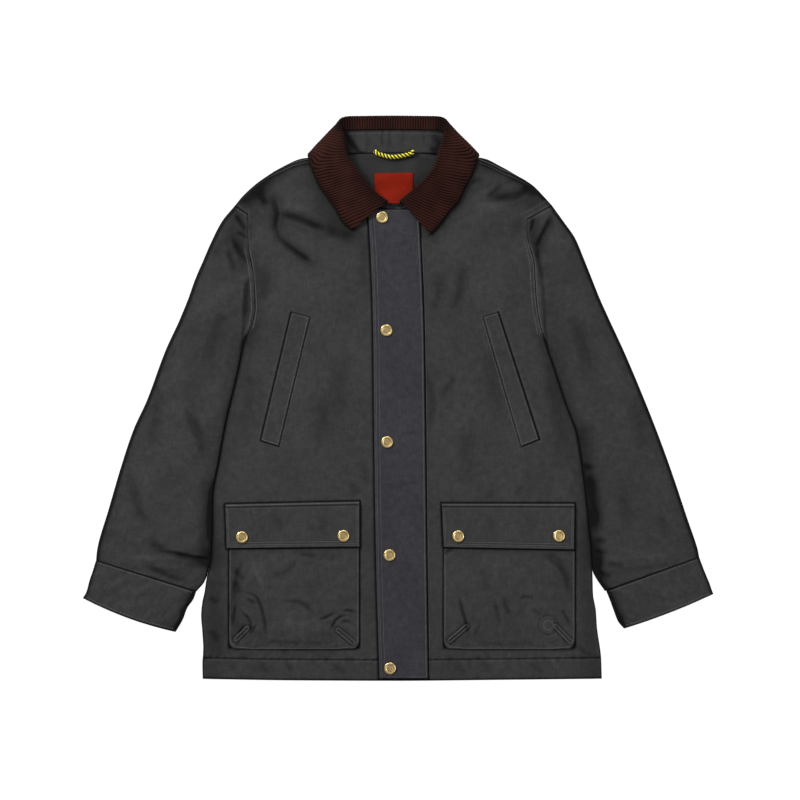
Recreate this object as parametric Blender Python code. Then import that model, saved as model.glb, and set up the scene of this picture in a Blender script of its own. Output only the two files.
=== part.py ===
"""Waxed cotton jacket with a corduroy collar, buttoned up and lying on its back.

All sizes are in millimetres and become metres when a mesh is made. +X runs across the
front to the viewer's right, +Y up to the collar and +Z out of the front. The underside of
the back lies at z = 0. "Right" and "left" in the names are the wearer's, so the right
front lies at -X. Every piece is a wall of cloth: the fronts lie on the back with a narrow
hollow between them, each sleeve is one piece folded round its outer edge, and the collar
is a stand with a fall that turns over it in front and under it behind the neck.
"""
import math

import bmesh
import bpy
import numpy as np
from mathutils import Vector

MM = 0.001

# ---------------------------------------------------------------- driving sizes, mm
WALL = 2.5            # body and sleeves: shell and lining together
DOUBLE = 2.0          # pockets, flaps and welts: two layers of shell
FLAP_WALL = 2.5       # storm flap: two layers and a turned edge
FALL_WALL = 3.0       # corduroy fall: two layers and an interlining
SEAM = 0.3            # between two sewn pieces, and between a piece and what it lies on
HOLLOW = 1.5          # between the back and the fronts, away from the edges
MOST_HOLLOW = 3.7     # the same under the highest ridge of a fold
ROLL = 18.0           # width over which a folded side edge closes that hollow
NECK_LIFT = 3.9       # the back rides up this much over the fall folded under it
NECK_HOLLOW = 1.0     # more room between front and back where they ride up
NECK_SLACK = 0.7      # the same at the shoulder's folded edge
CENTRE_X = 1.0        # the fronts meet here, under the storm flap
NECK_X = -9.0         # middle of the neck and collar
SNAP_RADIUS = 9.0
SNAP_HEIGHT = 2.2
LOOP_DIAMETER = 6.5
LABEL_WALL = 1.0
FACING_WALL = 1.0
LIP = 0.25            # height of a wall's bare edge at a fold, where two pieces are sewn
RIM = 0.4             # the same round what is sewn on the fronts
FRONT_TOP = 2 * WALL + HOLLOW         # a front's top where it is plain
ON_FRONT = FRONT_TOP + SEAM           # underside of what is sewn on it
FLAP_OVER = ON_FRONT + DOUBLE + SEAM  # underside of a flap over its pocket
ON_BACK = WALL + SEAM + 0.25          # underside of the facing, clear of the lift's slope
ON_FACING = FACING_WALL + SEAM + 0.25

# Where one form passes into another: heights up the body, or distances out from the
# middle of the neck.
UNDERARM = (84.0, 104.0)      # a folded side below, an armhole seam above
FRONT_FOLD = (70.0, 110.0)    # the same for the hollow behind the fronts
NECK_RISE = (308.0, 342.0)    # the back starts to ride up, and is up
NECK_SPAN = (122.0, 167.0)    # it is up, and is down again
YOKE_RISE = (285.0, 300.0)    # the shoulder's slack starts, and is full
YOKE_SPAN = (155.0, 195.0)    # it is full, and is gone
COLLAR_SPAN = (108.0, 122.0)  # open neck edge, and closed shoulder edge of the fronts
NECK_POINT = (100.0, 110.0)   # square neck edge, and rounded shoulder edge of a wall
SHOULDER_SLOPE = 0.88         # distance to the shoulder edge, for each mm straight up to it

# Side edge of each front, hem to shoulder tip: height up the body, distance out from the
# centre line. Above the underarm the edge is the armhole seam.
RIGHT_SIDE = (
    # y, x
    (-420, -293.3), (-396, -293.8), (-377, -292.4), (-348, -294), (-325, -295.7), (-306, -294),
    (-290, -290.6), (-268, -287.2), (-242, -281.5), (-197, -279),
    (-152, -278.5), (-92, -268.5), (-32, -257.5), (28, -243), (58, -236.5), (84, -231),
    (111, -219), (135, -214.5), (180, -216), (226, -224), (252, -225), (270, -225.2),
    (276, -225.5), (280, -231), (284, -236.6), (290, -245),
)
LEFT_SIDE = (
    (-420, 305.8), (-390, 304.8), (-341, 298.4), (-318, 296.9), (-293, 292.6), (-268, 291.9),
    (-231, 290.5), (-189, 286),
    (-130, 279.5), (-95, 275), (-54, 268), (-5, 250.5), (43, 235), (88, 220),
    (131, 209), (178, 205.5), (204, 204), (238, 195), (256, 193.5), (269, 193.5),
    (272, 198.8), (276, 206), (283, 218.5), (290, 231),
)
# Top edge of each front: from the shoulder tip along the shoulder to the neck point, then
# down the neckline to the centre.
RIGHT_TOP = (
    # x, y
    (-245, 290), (-232, 305.5), (-206, 328), (-176, 346), (-146, 359), (-134, 361),
    (-118, 361), (-102, 360), (-96, 352), (-88, 341), (-74, 321), (-58, 303.5),
    (-39, 292), (-20, 286.5), (1, 284.5),
)
LEFT_TOP = (
    (231, 290), (217, 305.5), (202, 320.5), (174, 337.5), (153, 348.5), (131, 359),
    (120, 361), (103, 361), (84, 360), (78, 352), (70, 341), (57, 321), (41, 303.5),
    (24, 292), (12, 287), (1, 284.5),
)
# The back's neckline, between the two neck points.
BACK_NECK = ((-102, 360), (-90, 364.5), (-70, 367), (-9, 368), (52, 367), (72, 364.5), (84, 360))
HEM = ((-293.3, -420), (-150, -422), (0, -423), (150, -421.5), (305.8, -420))
HEM_Y, TIP_Y = -420.0, 290.0         # side edges run between these heights

# Folds: soft ridges (+) and troughs (-) along a line, as wide as given on each side of it.
FRONT_FOLDS = (
    # x1, y1, x2, y2, half_width, height
    (-206, 322, -176, 268, 26, -1.2),
    (-186, 308, -122, 250, 24, 1.6),
    (-178, 262, -112, 226, 24, -1.2),
    (-214, 250, -150, 214, 24, 1.4),
    (192, 318, 128, 300, 24, -1.2),
    (176, 290, 118, 262, 26, 1.6),
    (186, 262, 170, 214, 22, -1.2),
    (92, 226, 84, 140, 24, 1.4),
    (132, 232, 116, 158, 24, -1.0),
    (-100, 200, -84, 130, 24, 1.2),
)
SLEEVE_FOLDS = (
    # along (0 shoulder, 1 cuff), across (0 inner, 1 outer), twice, half_width mm, height
    (0.06, 0.15, 0.10, 0.75, 20, 1.4),
    (0.14, 0.10, 0.20, 0.60, 22, -1.2),
    (0.22, 0.20, 0.32, 0.80, 26, 1.5),
    (0.44, 0.25, 0.52, 0.75, 26, -1.0),
    (0.55, 0.20, 0.72, 0.45, 26, 1.6),
    (0.62, 0.65, 0.76, 0.80, 24, -1.0),
    (0.86, 0.15, 0.92, 0.60, 22, -1.2),
    (0.94, 0.20, 0.97, 0.75, 18, 1.5),
)

# Sleeves: a row for each section from the shoulder to the cuff seam.
SLEEVE_GAP = 1.5      # hollow at the fold
SLEEVE_PUFF = 1.4     # more at mid width
SLEEVE_LENGTH = 600.0
ARM_SEAM = 0.5        # between the sleeve head and the shoulder tip
RIGHT_SLEEVE = (
    # inner y, away from the body's edge, outer x, outer y
    (276, 0.3, -245.5, 289.4),
    (249, 0.3, -264, 267),
    (222, 0.3, -280, 236.5),
    (196, 0.3, -292, 209),
    (166, 0.3, -304.5, 180),
    (127, 0.3, -316, 148),
    (92, 0.3, -329, 116.5),
    (58, 0.3, -349, 73),
    (-17, 0.3, -377, -2),
    (-62, 0.3, -397.5, -47),
    (-137, 0.3, -417.5, -107),
    (-197, 0.3, -435, -167),
    (-242, 0.4, -450, -217),
    (-264, 0.8, -452.4, -230),
    (-275, 2.9, -453, -236),
    (-289.5, 12.9, -453.5, -242),
)
LEFT_SLEEVE = (
    (269, 0.3, 231.5, 289.4),
    (249, 0.3, 247, 268),
    (228, 0.3, 265.5, 241.5),
    (200, 0.3, 278, 212.5),
    (166, 0.3, 290, 182.5),
    (131, 0.3, 303, 150),
    (91, 0.3, 317, 119),
    (55, 0.3, 339, 71.5),
    (-12, 0.3, 370, -2),
    (-75, 0.3, 393, -60.5),
    (-137, 0.3, 415, -122),
    (-193, 0.3, 434, -179),
    (-243, 0.5, 447, -216.5),
    (-258, 1.6, 449, -223),
    (-268, 5.9, 450.3, -228),
    (-288.5, 19.9, 452, -237),
)
# Cuffs: wrist seam to wrist edge, and how far that edge bows out at its middle.
CUFF_BOW = dict(right=5.0, left=2.6)
RIGHT_CUFF = (
    # outer x, outer y, inner x, inner y
    (-453.6, -242.6, -304, -290.1),
    (-459, -260, -309, -301),
    (-464, -275, -316, -314),
    (-468, -290, -322, -331),
    (-473.4, -299, -334, -350),
)
LEFT_CUFF = (
    (452, -237.6, 314, -289.1),
    (460.5, -260, 318, -301),
    (468, -278, 324, -319),
    (471, -287, 330, -334),
    (473.4, -293, 339, -345),
)

# Storm flap over the closing: height, then its free edge and its sewn edge.
STORM_FLAP = (
    # y, left x, right x
    (-420, -29, 45.5), (-229, -34.5, 43), (-47, -37, 41), (103, -38.5, 39),
    (213, -42, 35), (284.6, -46.5, 31.5),
)
STORM_SNAPS = ((-24, 272), (-17.5, 102.5), (-16.5, -65), (-13, -234.5), (-12, -404))

# Patch pockets and their flaps: corners, mm.
RIGHT_POCKET = dict(left=-254, right=-58, top=-171, bottom=-375, corner=12)
LEFT_POCKET = dict(left=68, right=265.5, top=-171, bottom=-375, corner=12)
POCKET_GAP = 1.6      # room inside a pocket, below its flap
UNDER_FLAP = -229.0   # the flaps end above this height
# The flaps are quadrilaterals: top left, top right, bottom right, bottom left.
RIGHT_FLAP = ((-260, -157.4), (-57, -153), (-57, -221.7), (-258, -224))
LEFT_FLAP = ((64.4, -156.2), (265.4, -156.3), (264.6, -226.3), (67.4, -222))
FLAP_SNAPS = dict(right=((-234, -207.5), (-82, -205.5)), left=((90, -206), (241, -205.5)))
# Welts of the slanted hand pockets, same corner order.
RIGHT_WELT = ((-160.5, 130), (-132, 123), (-179, -72), (-206.5, -63))
LEFT_WELT = ((127, 123), (150, 130), (212, -61), (184, -72))

# Collar: a row for each section from the right end round the neck to the left end.
# Seam: where the stand is sewn to the neckline, an x on it, and the height of the seam.
# Roll: top edge of the collar. Edge: free edge of the fall.
COLLAR = (
    # seam x, side of the neck, seam z, roll x, y, z, edge x, y, z
    (-17, "right", 7.0, -16, 295, 15.5, -68, 253, 9.2),
    (-30, "right", 7.0, -27, 302.5, 18, -82, 264, 9.0),
    (-46, "right", 7.0, -40, 313, 20.5, -93, 284, 9.2),
    (-60, "right", 7.0, -52.5, 327.5, 22.5, -104.5, 300.5, 9.6),
    (-73, "right", 7.4, -65, 344, 24, -116.5, 317.5, 11.2),
    (-85, "right", 8.6, -74, 358, 24, -124.5, 334, 13.2),
    (-92, "right", 10.2, -80, 375, 22, -129.5, 347, 13.8),
    (-98, "right", 10.8, -82.5, 391, 19.5, -133, 357, 12.6),
    (-96, "back", 9.8, -86, 405, 16, -135.5, 363, 9.2),
    (-90, "back", 9.0, -87.5, 414, 11.5, -135, 366, 5.6),
    (-80, "back", 7.8, -83, 420.5, 7.4, -124, 359, 1.8),
    (-66, "back", 6.6, -71, 422.8, 4.9, -106, 352, 1.6),
    (-48, "back", 5.6, -50, 423.2, 3.7, -70, 350, 1.5),
    (-9, "back", 5.4, -9, 423.6, 3.6, -9, 350, 1.5),
    (30, "back", 5.6, 33, 423.2, 3.7, 52, 350, 1.5),
    (49, "back", 6.6, 55, 422.8, 4.9, 90, 352, 1.6),
    (62, "back", 7.8, 67, 420.5, 7.4, 109, 359, 1.8),
    (72, "back", 9.0, 72, 414, 11.5, 121, 366, 5.6),
    (78, "back", 9.8, 71, 405, 16, 121.5, 363, 9.2),
    (80, "left", 10.8, 67.5, 389, 19.5, 119, 359, 12.2),
    (75, "left", 10.2, 62, 371, 22, 115, 347, 13.4),
    (67, "left", 8.6, 57, 352, 24, 108.5, 332, 12.8),
    (56, "left", 7.4, 49.5, 339, 24, 99.6, 315, 11.2),
    (43, "left", 7.0, 38, 325, 22.5, 90.6, 296, 9.6),
    (29, "left", 7.0, 26, 314.5, 20.5, 76.4, 280, 9.2),
    (15, "left", 7.0, 13.5, 304, 18, 61.4, 260, 9.0),
    (4, "left", 7.0, 3, 295, 15.5, 48, 246.5, 9.2),
)
STAND_SHARE = 0.66    # of the way from the neck seam to the roll
STAND_COLUMNS = 4
ROLL_RADIUS = 2.1     # of the middle of the wall, where the fall turns over

LABEL = dict(left=-35.5, right=22.5, top=338, bottom=293)
LOOP = ((-35, 371, 10.4), (-30, 367, 10.8), (-9, 362, 11.2), (17, 366.5, 10.8), (23, 371.5, 10.4))

COLOURS = dict(                       # colour, roughness, metallic
    waxed_cotton=((0.045, 0.045, 0.046), 0.62, 0.0),
    placket_cotton=((0.043, 0.043, 0.050), 0.62, 0.0),
    corduroy=((0.028, 0.013, 0.010), 0.85, 0.0),
    lining=((0.040, 0.040, 0.041), 0.8, 0.0),
    label_cloth=((0.30, 0.022, 0.012), 0.8, 0.0),
    loop_cord=((0.35, 0.25, 0.05), 0.8, 0.0),
    snap_brass=((0.36, 0.29, 0.16), 0.4, 1.0),
)


# ---------------------------------------------------------------- curves and grids
def curve(rows):
    """A smooth curve through (t, value) rows that never overshoots them."""
    t, value = np.array(sorted(rows), float).T
    step, rise = np.diff(t), np.diff(value)
    slope = rise / step
    tangent = np.concatenate(([slope[0]], np.zeros(len(t) - 2), [slope[-1]]))
    for k in range(1, len(t) - 1):
        if slope[k - 1] * slope[k] > 0:
            w1, w2 = 2 * step[k] + step[k - 1], step[k] + 2 * step[k - 1]
            tangent[k] = (w1 + w2) / (w1 / slope[k - 1] + w2 / slope[k])

    def at(x):
        x = min(max(x, t[0]), t[-1])
        k = min(int(np.searchsorted(t, x, "right")) - 1, len(t) - 2)
        k = max(k, 0)
        s = (x - t[k]) / step[k]
        return ((2 * s**3 - 3 * s**2 + 1) * value[k] + (s**3 - 2 * s**2 + s) * step[k] * tangent[k]
                + (3 * s**2 - 2 * s**3) * value[k + 1] + (s**3 - s**2) * step[k] * tangent[k + 1])
    return at


def ease(x):
    """0 below 0, 1 above 1, smooth between."""
    x = min(max(x, 0.0), 1.0)
    return x * x * (3 - 2 * x)


def ramp(x, first, last):
    """0 up to the first place, 1 from the last, smooth between."""
    return ease((x - first) / (last - first))


def mix(a, b, share):
    return a + (b - a) * share


def spread(first, last, count):
    """Evenly spaced numbers from first to last, or the middle one if there is only one."""
    if count == 1:
        return [0.5 * (first + last)]
    return [mix(first, last, k / (count - 1)) for k in range(count)]


def segment_fold(x, y, x1, y1, x2, y2, half_width):
    """1 on the line of a fold, falling to 0 at its half width and towards its ends."""
    length = math.hypot(x2 - x1, y2 - y1)
    along = ((x - x1) * (x2 - x1) + (y - y1) * (y2 - y1)) / length**2
    aside = ((x - x1) * (y2 - y1) - (y - y1) * (x2 - x1)) / length
    if abs(aside) >= half_width or not -0.25 < along < 1.25:
        return 0.0
    taper = ease((along + 0.25) / 0.4) * ease((1.25 - along) / 0.4)
    return taper * math.cos(0.5 * math.pi * aside / half_width) ** 2


# ---------------------------------------------------------------- making solids
def material(name):
    if name in bpy.data.materials:
        return bpy.data.materials[name]
    colour, roughness, metallic = COLOURS[name]
    made = bpy.data.materials.new(name)
    made.use_nodes = True
    made.diffuse_color = (*colour, 1)
    shader = made.node_tree.nodes["Principled BSDF"]
    shader.inputs["Base Color"].default_value = (*colour, 1)
    shader.inputs["Roughness"].default_value = roughness
    shader.inputs["Metallic"].default_value = metallic
    return made


def solid(name, points, faces, finish):
    mesh = bpy.data.meshes.new(name)
    shape = bmesh.new()
    verts = [shape.verts.new(Vector(p) * MM) for p in points]
    for face in faces:
        shape.faces.new([verts[k] for k in face])
    bmesh.ops.triangulate(shape, faces=shape.faces[:])
    bmesh.ops.recalc_face_normals(shape, faces=shape.faces[:])
    shape.to_mesh(mesh)
    shape.free()
    mesh.shade_smooth()
    mesh.set_sharp_from_angle(angle=math.radians(50))
    mesh.materials.append(material(finish))
    made = bpy.data.objects.new(name, mesh)
    bpy.context.collection.objects.link(made)
    return made


def wall(name, outer, inner, finish, ring=False):
    """A closed wall between two grids of points with the same rows and columns.

    With ring the columns run on from the last to the first, as round a cuff.
    """
    rows, columns = len(outer), len(outer[0])
    points = [p for row in outer for p in row] + [p for row in inner for p in row]
    below = rows * columns

    def at(i, j, side):
        return side * below + i * columns + j % columns

    faces = []
    spans = columns if ring else columns - 1
    for i in range(rows - 1):
        for j in range(spans):
            quad = ((i, j), (i, j + 1), (i + 1, j + 1), (i + 1, j))
            faces.append([at(*c, 0) for c in quad])
            faces.append([at(*c, 1) for c in reversed(quad)])
    for j in range(spans):
        for i in (0, rows - 1):
            faces.append([at(i, j, 0), at(i, j + 1, 0), at(i, j + 1, 1), at(i, j, 1)])
    if not ring:
        for i in range(rows - 1):
            for j in (0, columns - 1):
                faces.append([at(i, j, 0), at(i + 1, j, 0), at(i + 1, j, 1), at(i, j, 1)])
    return solid(name, points, faces, finish)


def quarter(distance, radius):
    """Share of a rounded edge's height at a distance in from the edge."""
    reach = min(max(distance / radius, 0.0), 1.0)
    return math.sqrt(1 - (1 - reach) ** 2)


# ---------------------------------------------------------------- heights
def neck_lift(x, y):
    """How far the back rides up over the fall that is folded under it."""
    return NECK_LIFT * ramp(y, *NECK_RISE) * (1 - ramp(abs(x - NECK_X), *NECK_SPAN))


def front_folds(x, y):
    return sum(height * segment_fold(x, y, *line, half_width)
               for *line, half_width, height in FRONT_FOLDS)


def front_underside(x, y, from_side, from_top):
    """Height of a front's underside, given its distances from the folded edges."""
    out = abs(x - NECK_X)
    open_side = mix(1.0, ease(from_side / ROLL), 1 - ramp(y, *FRONT_FOLD))
    open_top = mix(1.0, ease(from_top / ROLL), ramp(out, *COLLAR_SPAN))
    lift = neck_lift(x, y)
    hollow = HOLLOW + NECK_HOLLOW * lift / NECK_LIFT
    by_neck = (1 - ramp(out, *YOKE_SPAN)) * ramp(y, *YOKE_RISE)
    closed = SEAM + NECK_SLACK * by_neck
    hollow = closed + (hollow - closed) * open_side * open_top
    hollow += front_folds(x, y) * open_side * open_top
    return WALL + lift + min(max(hollow, closed), MOST_HOLLOW)


# ---------------------------------------------------------------- back and fronts
EDGE_STEPS = (0.0, 0.8, 2.5, 8.0, 18.0)   # distances in from a folded edge
# Heights where the body's and the sleeves' sections meet along the side seam and armhole.
LEVELS = (-360, -320, -275, -255, -230, -185, -140, -95, -50, -10, 28, 58, 84, 104, 126, 150, 174,
          196, 216, 234, 248, 259, 269, 276)
BODY_LEVELS = (HEM_Y, -398) + LEVELS + (TIP_Y - 2.2, TIP_Y - 0.8, TIP_Y)
# The columns near the edges of the fronts and the back lie these shares of a width in.
FRONT_WIDTH, BACK_WIDTH = 255.0, 500.0


def body_panel(name, columns, left_edge, right_edge, top_edge, heights):
    """A wall between two side edges, the hem and a top edge.

    columns are shares of the way across. heights gives the underside and top of the wall
    at a point, from its level and its distances to the side and top edges.
    """
    hem = curve(HEM)
    top_left, top_right = left_edge(TIP_Y), right_edge(TIP_Y)
    hem_left, hem_right = left_edge(HEM_Y), right_edge(HEM_Y)
    upper, lower = [], []
    for level in BODY_LEVELS:
        v = (level - HEM_Y) / (TIP_Y - HEM_Y)
        left_x, right_x = left_edge(level), right_edge(level)
        row_up, row_low = [], []
        for u in columns:
            x = mix(left_x, right_x, u)
            top_y = top_edge(mix(top_left, top_right, u))
            y = mix(hem(mix(hem_left, hem_right, u)), top_y, v)
            from_top = (top_y - y) * SHOULDER_SLOPE
            z_low, z_up = heights(x, y, level, x - left_x, right_x - x, from_top)
            row_low.append((x, y, z_low))
            row_up.append((x, y, z_up))
        upper.append(row_up)
        lower.append(row_low)
    return wall(name, upper, lower, "waxed_cotton")


def edge_fullness(x, level, from_side, from_top):
    """Share of the wall's thickness left beside the folded side and shoulder edges."""
    at_side = mix(1.0, quarter(from_side, WALL), 1 - ramp(level, *UNDERARM))
    return at_side * mix(1.0, quarter(from_top, WALL), ramp(abs(x - NECK_X), *NECK_POINT))


def right_front():
    def heights(x, y, level, from_left, from_right, from_top):
        z = front_underside(x, y, from_left, from_top)
        return z, z + mix(LIP, WALL, edge_fullness(x, level, from_left, from_top))
    columns = [d / FRONT_WIDTH for d in EDGE_STEPS] + spread(0.165, 1.0, 9)
    centre = curve(((HEM_Y, CENTRE_X - SEAM / 2), (TIP_Y, CENTRE_X - SEAM / 2)))
    return body_panel("right_front", columns, curve(RIGHT_SIDE), centre, curve(RIGHT_TOP), heights)


def left_front():
    def heights(x, y, level, from_left, from_right, from_top):
        z = front_underside(x, y, from_right, from_top)
        return z, z + mix(LIP, WALL, edge_fullness(x, level, from_right, from_top))
    columns = spread(0.0, 0.835, 9) + [1 - d / FRONT_WIDTH for d in reversed(EDGE_STEPS)]
    centre = curve(((HEM_Y, CENTRE_X + SEAM / 2), (TIP_Y, CENTRE_X + SEAM / 2)))
    return body_panel("left_front", columns, centre, curve(LEFT_SIDE), curve(LEFT_TOP), heights)


def back():
    def heights(x, y, level, from_left, from_right, from_top):
        z = neck_lift(x, y) + WALL
        full = edge_fullness(x, level, min(from_left, from_right), from_top)
        return z - mix(LIP, WALL, full), z
    edge = [d / BACK_WIDTH for d in EDGE_STEPS[:4]]
    columns = edge + spread(0.09, 0.91, 11) + [1 - d for d in reversed(edge)]
    shoulder = [p for p in RIGHT_TOP if p[0] < -102] + list(BACK_NECK)
    shoulder += [p for p in LEFT_TOP if p[0] > 84]
    return body_panel("back", columns, curve(RIGHT_SIDE), curve(LEFT_SIDE), curve(shoulder), heights)


# ---------------------------------------------------------------- sleeves and cuffs
def sleeve_sections(rows, side_rows, out):
    """Outer and inner edge points of each section; out is -1 on the wearer's right."""
    side = curve(side_rows)
    away, outer_x, outer_y = (curve([(row[0], row[k]) for row in rows]) for k in (1, 2, 3))
    head, wrist = rows[0][0], rows[-1][0]
    levels = [y for y in reversed(LEVELS) if wrist + 12 < y < head - 2]
    for y in [head - ARM_SEAM] + levels + [0.5 * (wrist + levels[-1]), wrist]:
        share = (head - y) / (head - wrist)
        yield share, (outer_x(y), outer_y(y)), (side(y) + out * away(y), y)


FOLD_STEPS = 5        # facets round a folded edge


def wrapped(outer_edge, inner_edge, hollow_at, closed_inner):
    """Outside and inside points round one section of a flattened tube.

    It starts on top at the inner edge, runs out and round the fold, and back underneath.
    hollow_at gives the height of the hollow at a share of the width. closed_inner is how
    far the inner end closes to a seam edge, from 0, open, to 1.
    """
    width = math.hypot(outer_edge[0] - inner_edge[0], outer_edge[1] - inner_edge[1])
    along = ((outer_edge[0] - inner_edge[0]) / width, (outer_edge[1] - inner_edge[1]) / width)
    fold_hollow = hollow_at(1.0)
    radius = 0.5 * fold_hollow + WALL
    centre = width - radius

    def place(distance, z):
        return (inner_edge[0] + along[0] * distance, inner_edge[1] + along[1] * distance, z)

    distances = list(EDGE_STEPS) + [share * width for share in spread(0.3, 0.82, 5)] + [centre]
    outside, inside = [], []
    for d in distances:
        share = d / width
        hollow = hollow_at(share)
        hollow = mix(hollow, SEAM + (hollow - SEAM) * ease(d / ROLL), closed_inner)
        full = mix(1.0, quarter(d, WALL), closed_inner)
        z = WALL + hollow
        outside.append(place(d, z + mix(LIP, WALL, full)))
        inside.append(place(d, z))
    for step in range(1, FOLD_STEPS):
        turn = math.pi * step / FOLD_STEPS
        out, up = math.sin(turn), math.cos(turn)
        middle = WALL + 0.5 * fold_hollow
        outside.append(place(centre + radius * out, middle + radius * up))
        inside.append(place(centre + (radius - WALL) * out, middle + (radius - WALL) * up))
    for d in (centre, 0.5 * width, 8.0, 2.5, 0.8, 0.0):
        full = mix(1.0, quarter(d, WALL), closed_inner)
        outside.append(place(d, WALL - mix(LIP, WALL, full)))
        inside.append(place(d, WALL))
    return outside, inside


def sleeve(name, rows, side_rows, out):
    outside, inside = [], []
    for s, outer_edge, inner_edge in sleeve_sections(rows, side_rows, out):
        width = math.hypot(outer_edge[0] - inner_edge[0], outer_edge[1] - inner_edge[1])
        puff = SLEEVE_PUFF * ease((1 - s) / 0.06) * ease(s / 0.06)
        closed = 1 - ramp(inner_edge[1], *UNDERARM)

        def hollow_at(share):
            folds = sum(h * segment_fold(s * SLEEVE_LENGTH, share * width, a1 * SLEEVE_LENGTH,
                                         c1 * width, a2 * SLEEVE_LENGTH, c2 * width, w)
                        for a1, c1, a2, c2, w, h in SLEEVE_FOLDS)
            plain_edges = ease(share / 0.2) * ease((1 - share) / 0.15)
            height = SLEEVE_GAP + (puff * math.sin(math.pi * share) + folds) * plain_edges
            return min(max(height, 0.5), MOST_HOLLOW)

        out_row, in_row = wrapped(outer_edge, inner_edge, hollow_at, closed)
        outside.append(out_row)
        inside.append(in_row)
    return wall(name, outside, inside, "waxed_cotton")


def cuff(name, rows, bow):
    """A band that goes all round the wrist: a flattened ring at each section."""
    outside, inside = [], []
    for k, (ox, oy, ix, iy) in enumerate(rows):
        width = math.hypot(ox - ix, oy - iy)
        along = ((ox - ix) / width, (oy - iy) / width)
        down = (along[1], -along[0]) if along[0] > 0 else (-along[1], along[0])
        bowed = bow * k / (len(rows) - 1)
        radius = 0.5 * SLEEVE_GAP + WALL
        ends = (radius, width - radius)
        middle = WALL + 0.5 * SLEEVE_GAP
        out_row, in_row = [], []

        def add(distance, out, up):
            sag = bowed * 4 * distance * (width - distance) / width**2
            x, y = ix + along[0] * distance + down[0] * sag, iy + along[1] * distance + down[1] * sag
            for row, r in ((out_row, radius), (in_row, radius - WALL)):
                row.append((x + along[0] * r * out, y + along[1] * r * out, middle + r * up))

        for d in spread(*ends, 7):
            add(d, 0, 1)
        turns = [math.pi * step / FOLD_STEPS for step in range(1, FOLD_STEPS)]
        for turn in turns:
            add(ends[1], math.sin(turn), math.cos(turn))
        for d in spread(ends[1], ends[0], 5):
            add(d, 0, -1)
        for turn in turns:
            add(ends[0], -math.sin(turn), -math.cos(turn))
        outside.append(out_row)
        inside.append(in_row)
    return wall(name, outside, inside, "waxed_cotton", ring=True)


# ---------------------------------------------------------------- what is sewn on the fronts
def storm_flap():
    left = curve([(y, a) for y, a, b in STORM_FLAP])
    right = curve([(y, b) for y, a, b in STORM_FLAP])
    upper, lower = [], []
    for y in spread(STORM_FLAP[0][0], STORM_FLAP[-1][0], 13):
        xs = [left(y) + d for d in (0, 0.8, 2.4)] + [mix(left(y), right(y), 0.5)]
        xs += [right(y) - d for d in (2.4, 0.8, 0)]
        row_up, row_low = [], []
        for x in xs:
            edge = min(x - left(y), right(y) - x)
            row_low.append((x, y, ON_FRONT))
            row_up.append((x, y, ON_FRONT + mix(RIM, FLAP_WALL, quarter(edge, 2.4))))
        upper.append(row_up)
        lower.append(row_low)
    return wall("storm_flap", upper, lower, "placket_cotton")


def pocket(name, left, right, top, bottom, corner):
    """A patch with rounded lower corners, standing off the front towards its foot."""
    upper, lower = [], []
    middle = 0.5 * (left + right)
    foot = [bottom, bottom + 0.8, bottom + 4, bottom + corner]
    for y in foot + spread(bottom + 40, UNDER_FLAP, 4) + [top]:
        up = y - bottom
        narrow = corner - math.sqrt(max(corner**2 - max(corner - up, 0) ** 2, 0))
        half = 0.5 * (right - left) - narrow
        row_up, row_low = [], []
        for d in (0, 0.8, 3, 14):
            row_up.append(middle - half + d)
        columns = row_up + [middle + half * share for share in spread(-0.5, 0.5, 3)]
        columns += [middle + half - d for d in (14, 3, 0.8, 0)]
        row_up = []
        for x in columns:
            edge = min(half - abs(x - middle), up)
            room = POCKET_GAP * ease(edge / 30) * ease((UNDER_FLAP - y) / 50)
            z = ON_FRONT + room
            row_low.append((x, y, z))
            row_up.append((x, y, z + mix(RIM, DOUBLE, quarter(edge, DOUBLE))))
        upper.append(row_up)
        lower.append(row_low)
    return wall(name, upper, lower, "waxed_cotton")


def patch(name, corners, finish, thickness, height_at, across=7, down=6):
    """A four-cornered piece lying on a front, its upper edges rounded."""
    (ax, ay), (bx, by), (cx, cy), (dx, dy) = corners
    width, depth = math.hypot(bx - ax, by - ay), math.hypot(dx - ax, dy - ay)

    def shares(count, size):
        ends = (0, 0.8 / size, 2.2 / size)
        return list(ends) + spread(0.12, 0.88, count - 6) + [1 - e for e in reversed(ends)]

    upper, lower = [], []
    for v in shares(down, depth):
        row_up, row_low = [], []
        for u in shares(across, width):
            x = mix(mix(ax, bx, u), mix(dx, cx, u), v)
            y = mix(mix(ay, by, u), mix(dy, cy, u), v)
            edge = min(u * width, (1 - u) * width, v * depth, (1 - v) * depth)
            z = height_at(x, y, v)
            row_low.append((x, y, z))
            row_up.append((x, y, z + mix(RIM, thickness, quarter(edge, 2.0))))
        upper.append(row_up)
        lower.append(row_low)
    return wall(name, upper, lower, finish)


def flap_height(x, y, share):
    return mix(ON_FRONT, FLAP_OVER, ease(share / 0.12))


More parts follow.
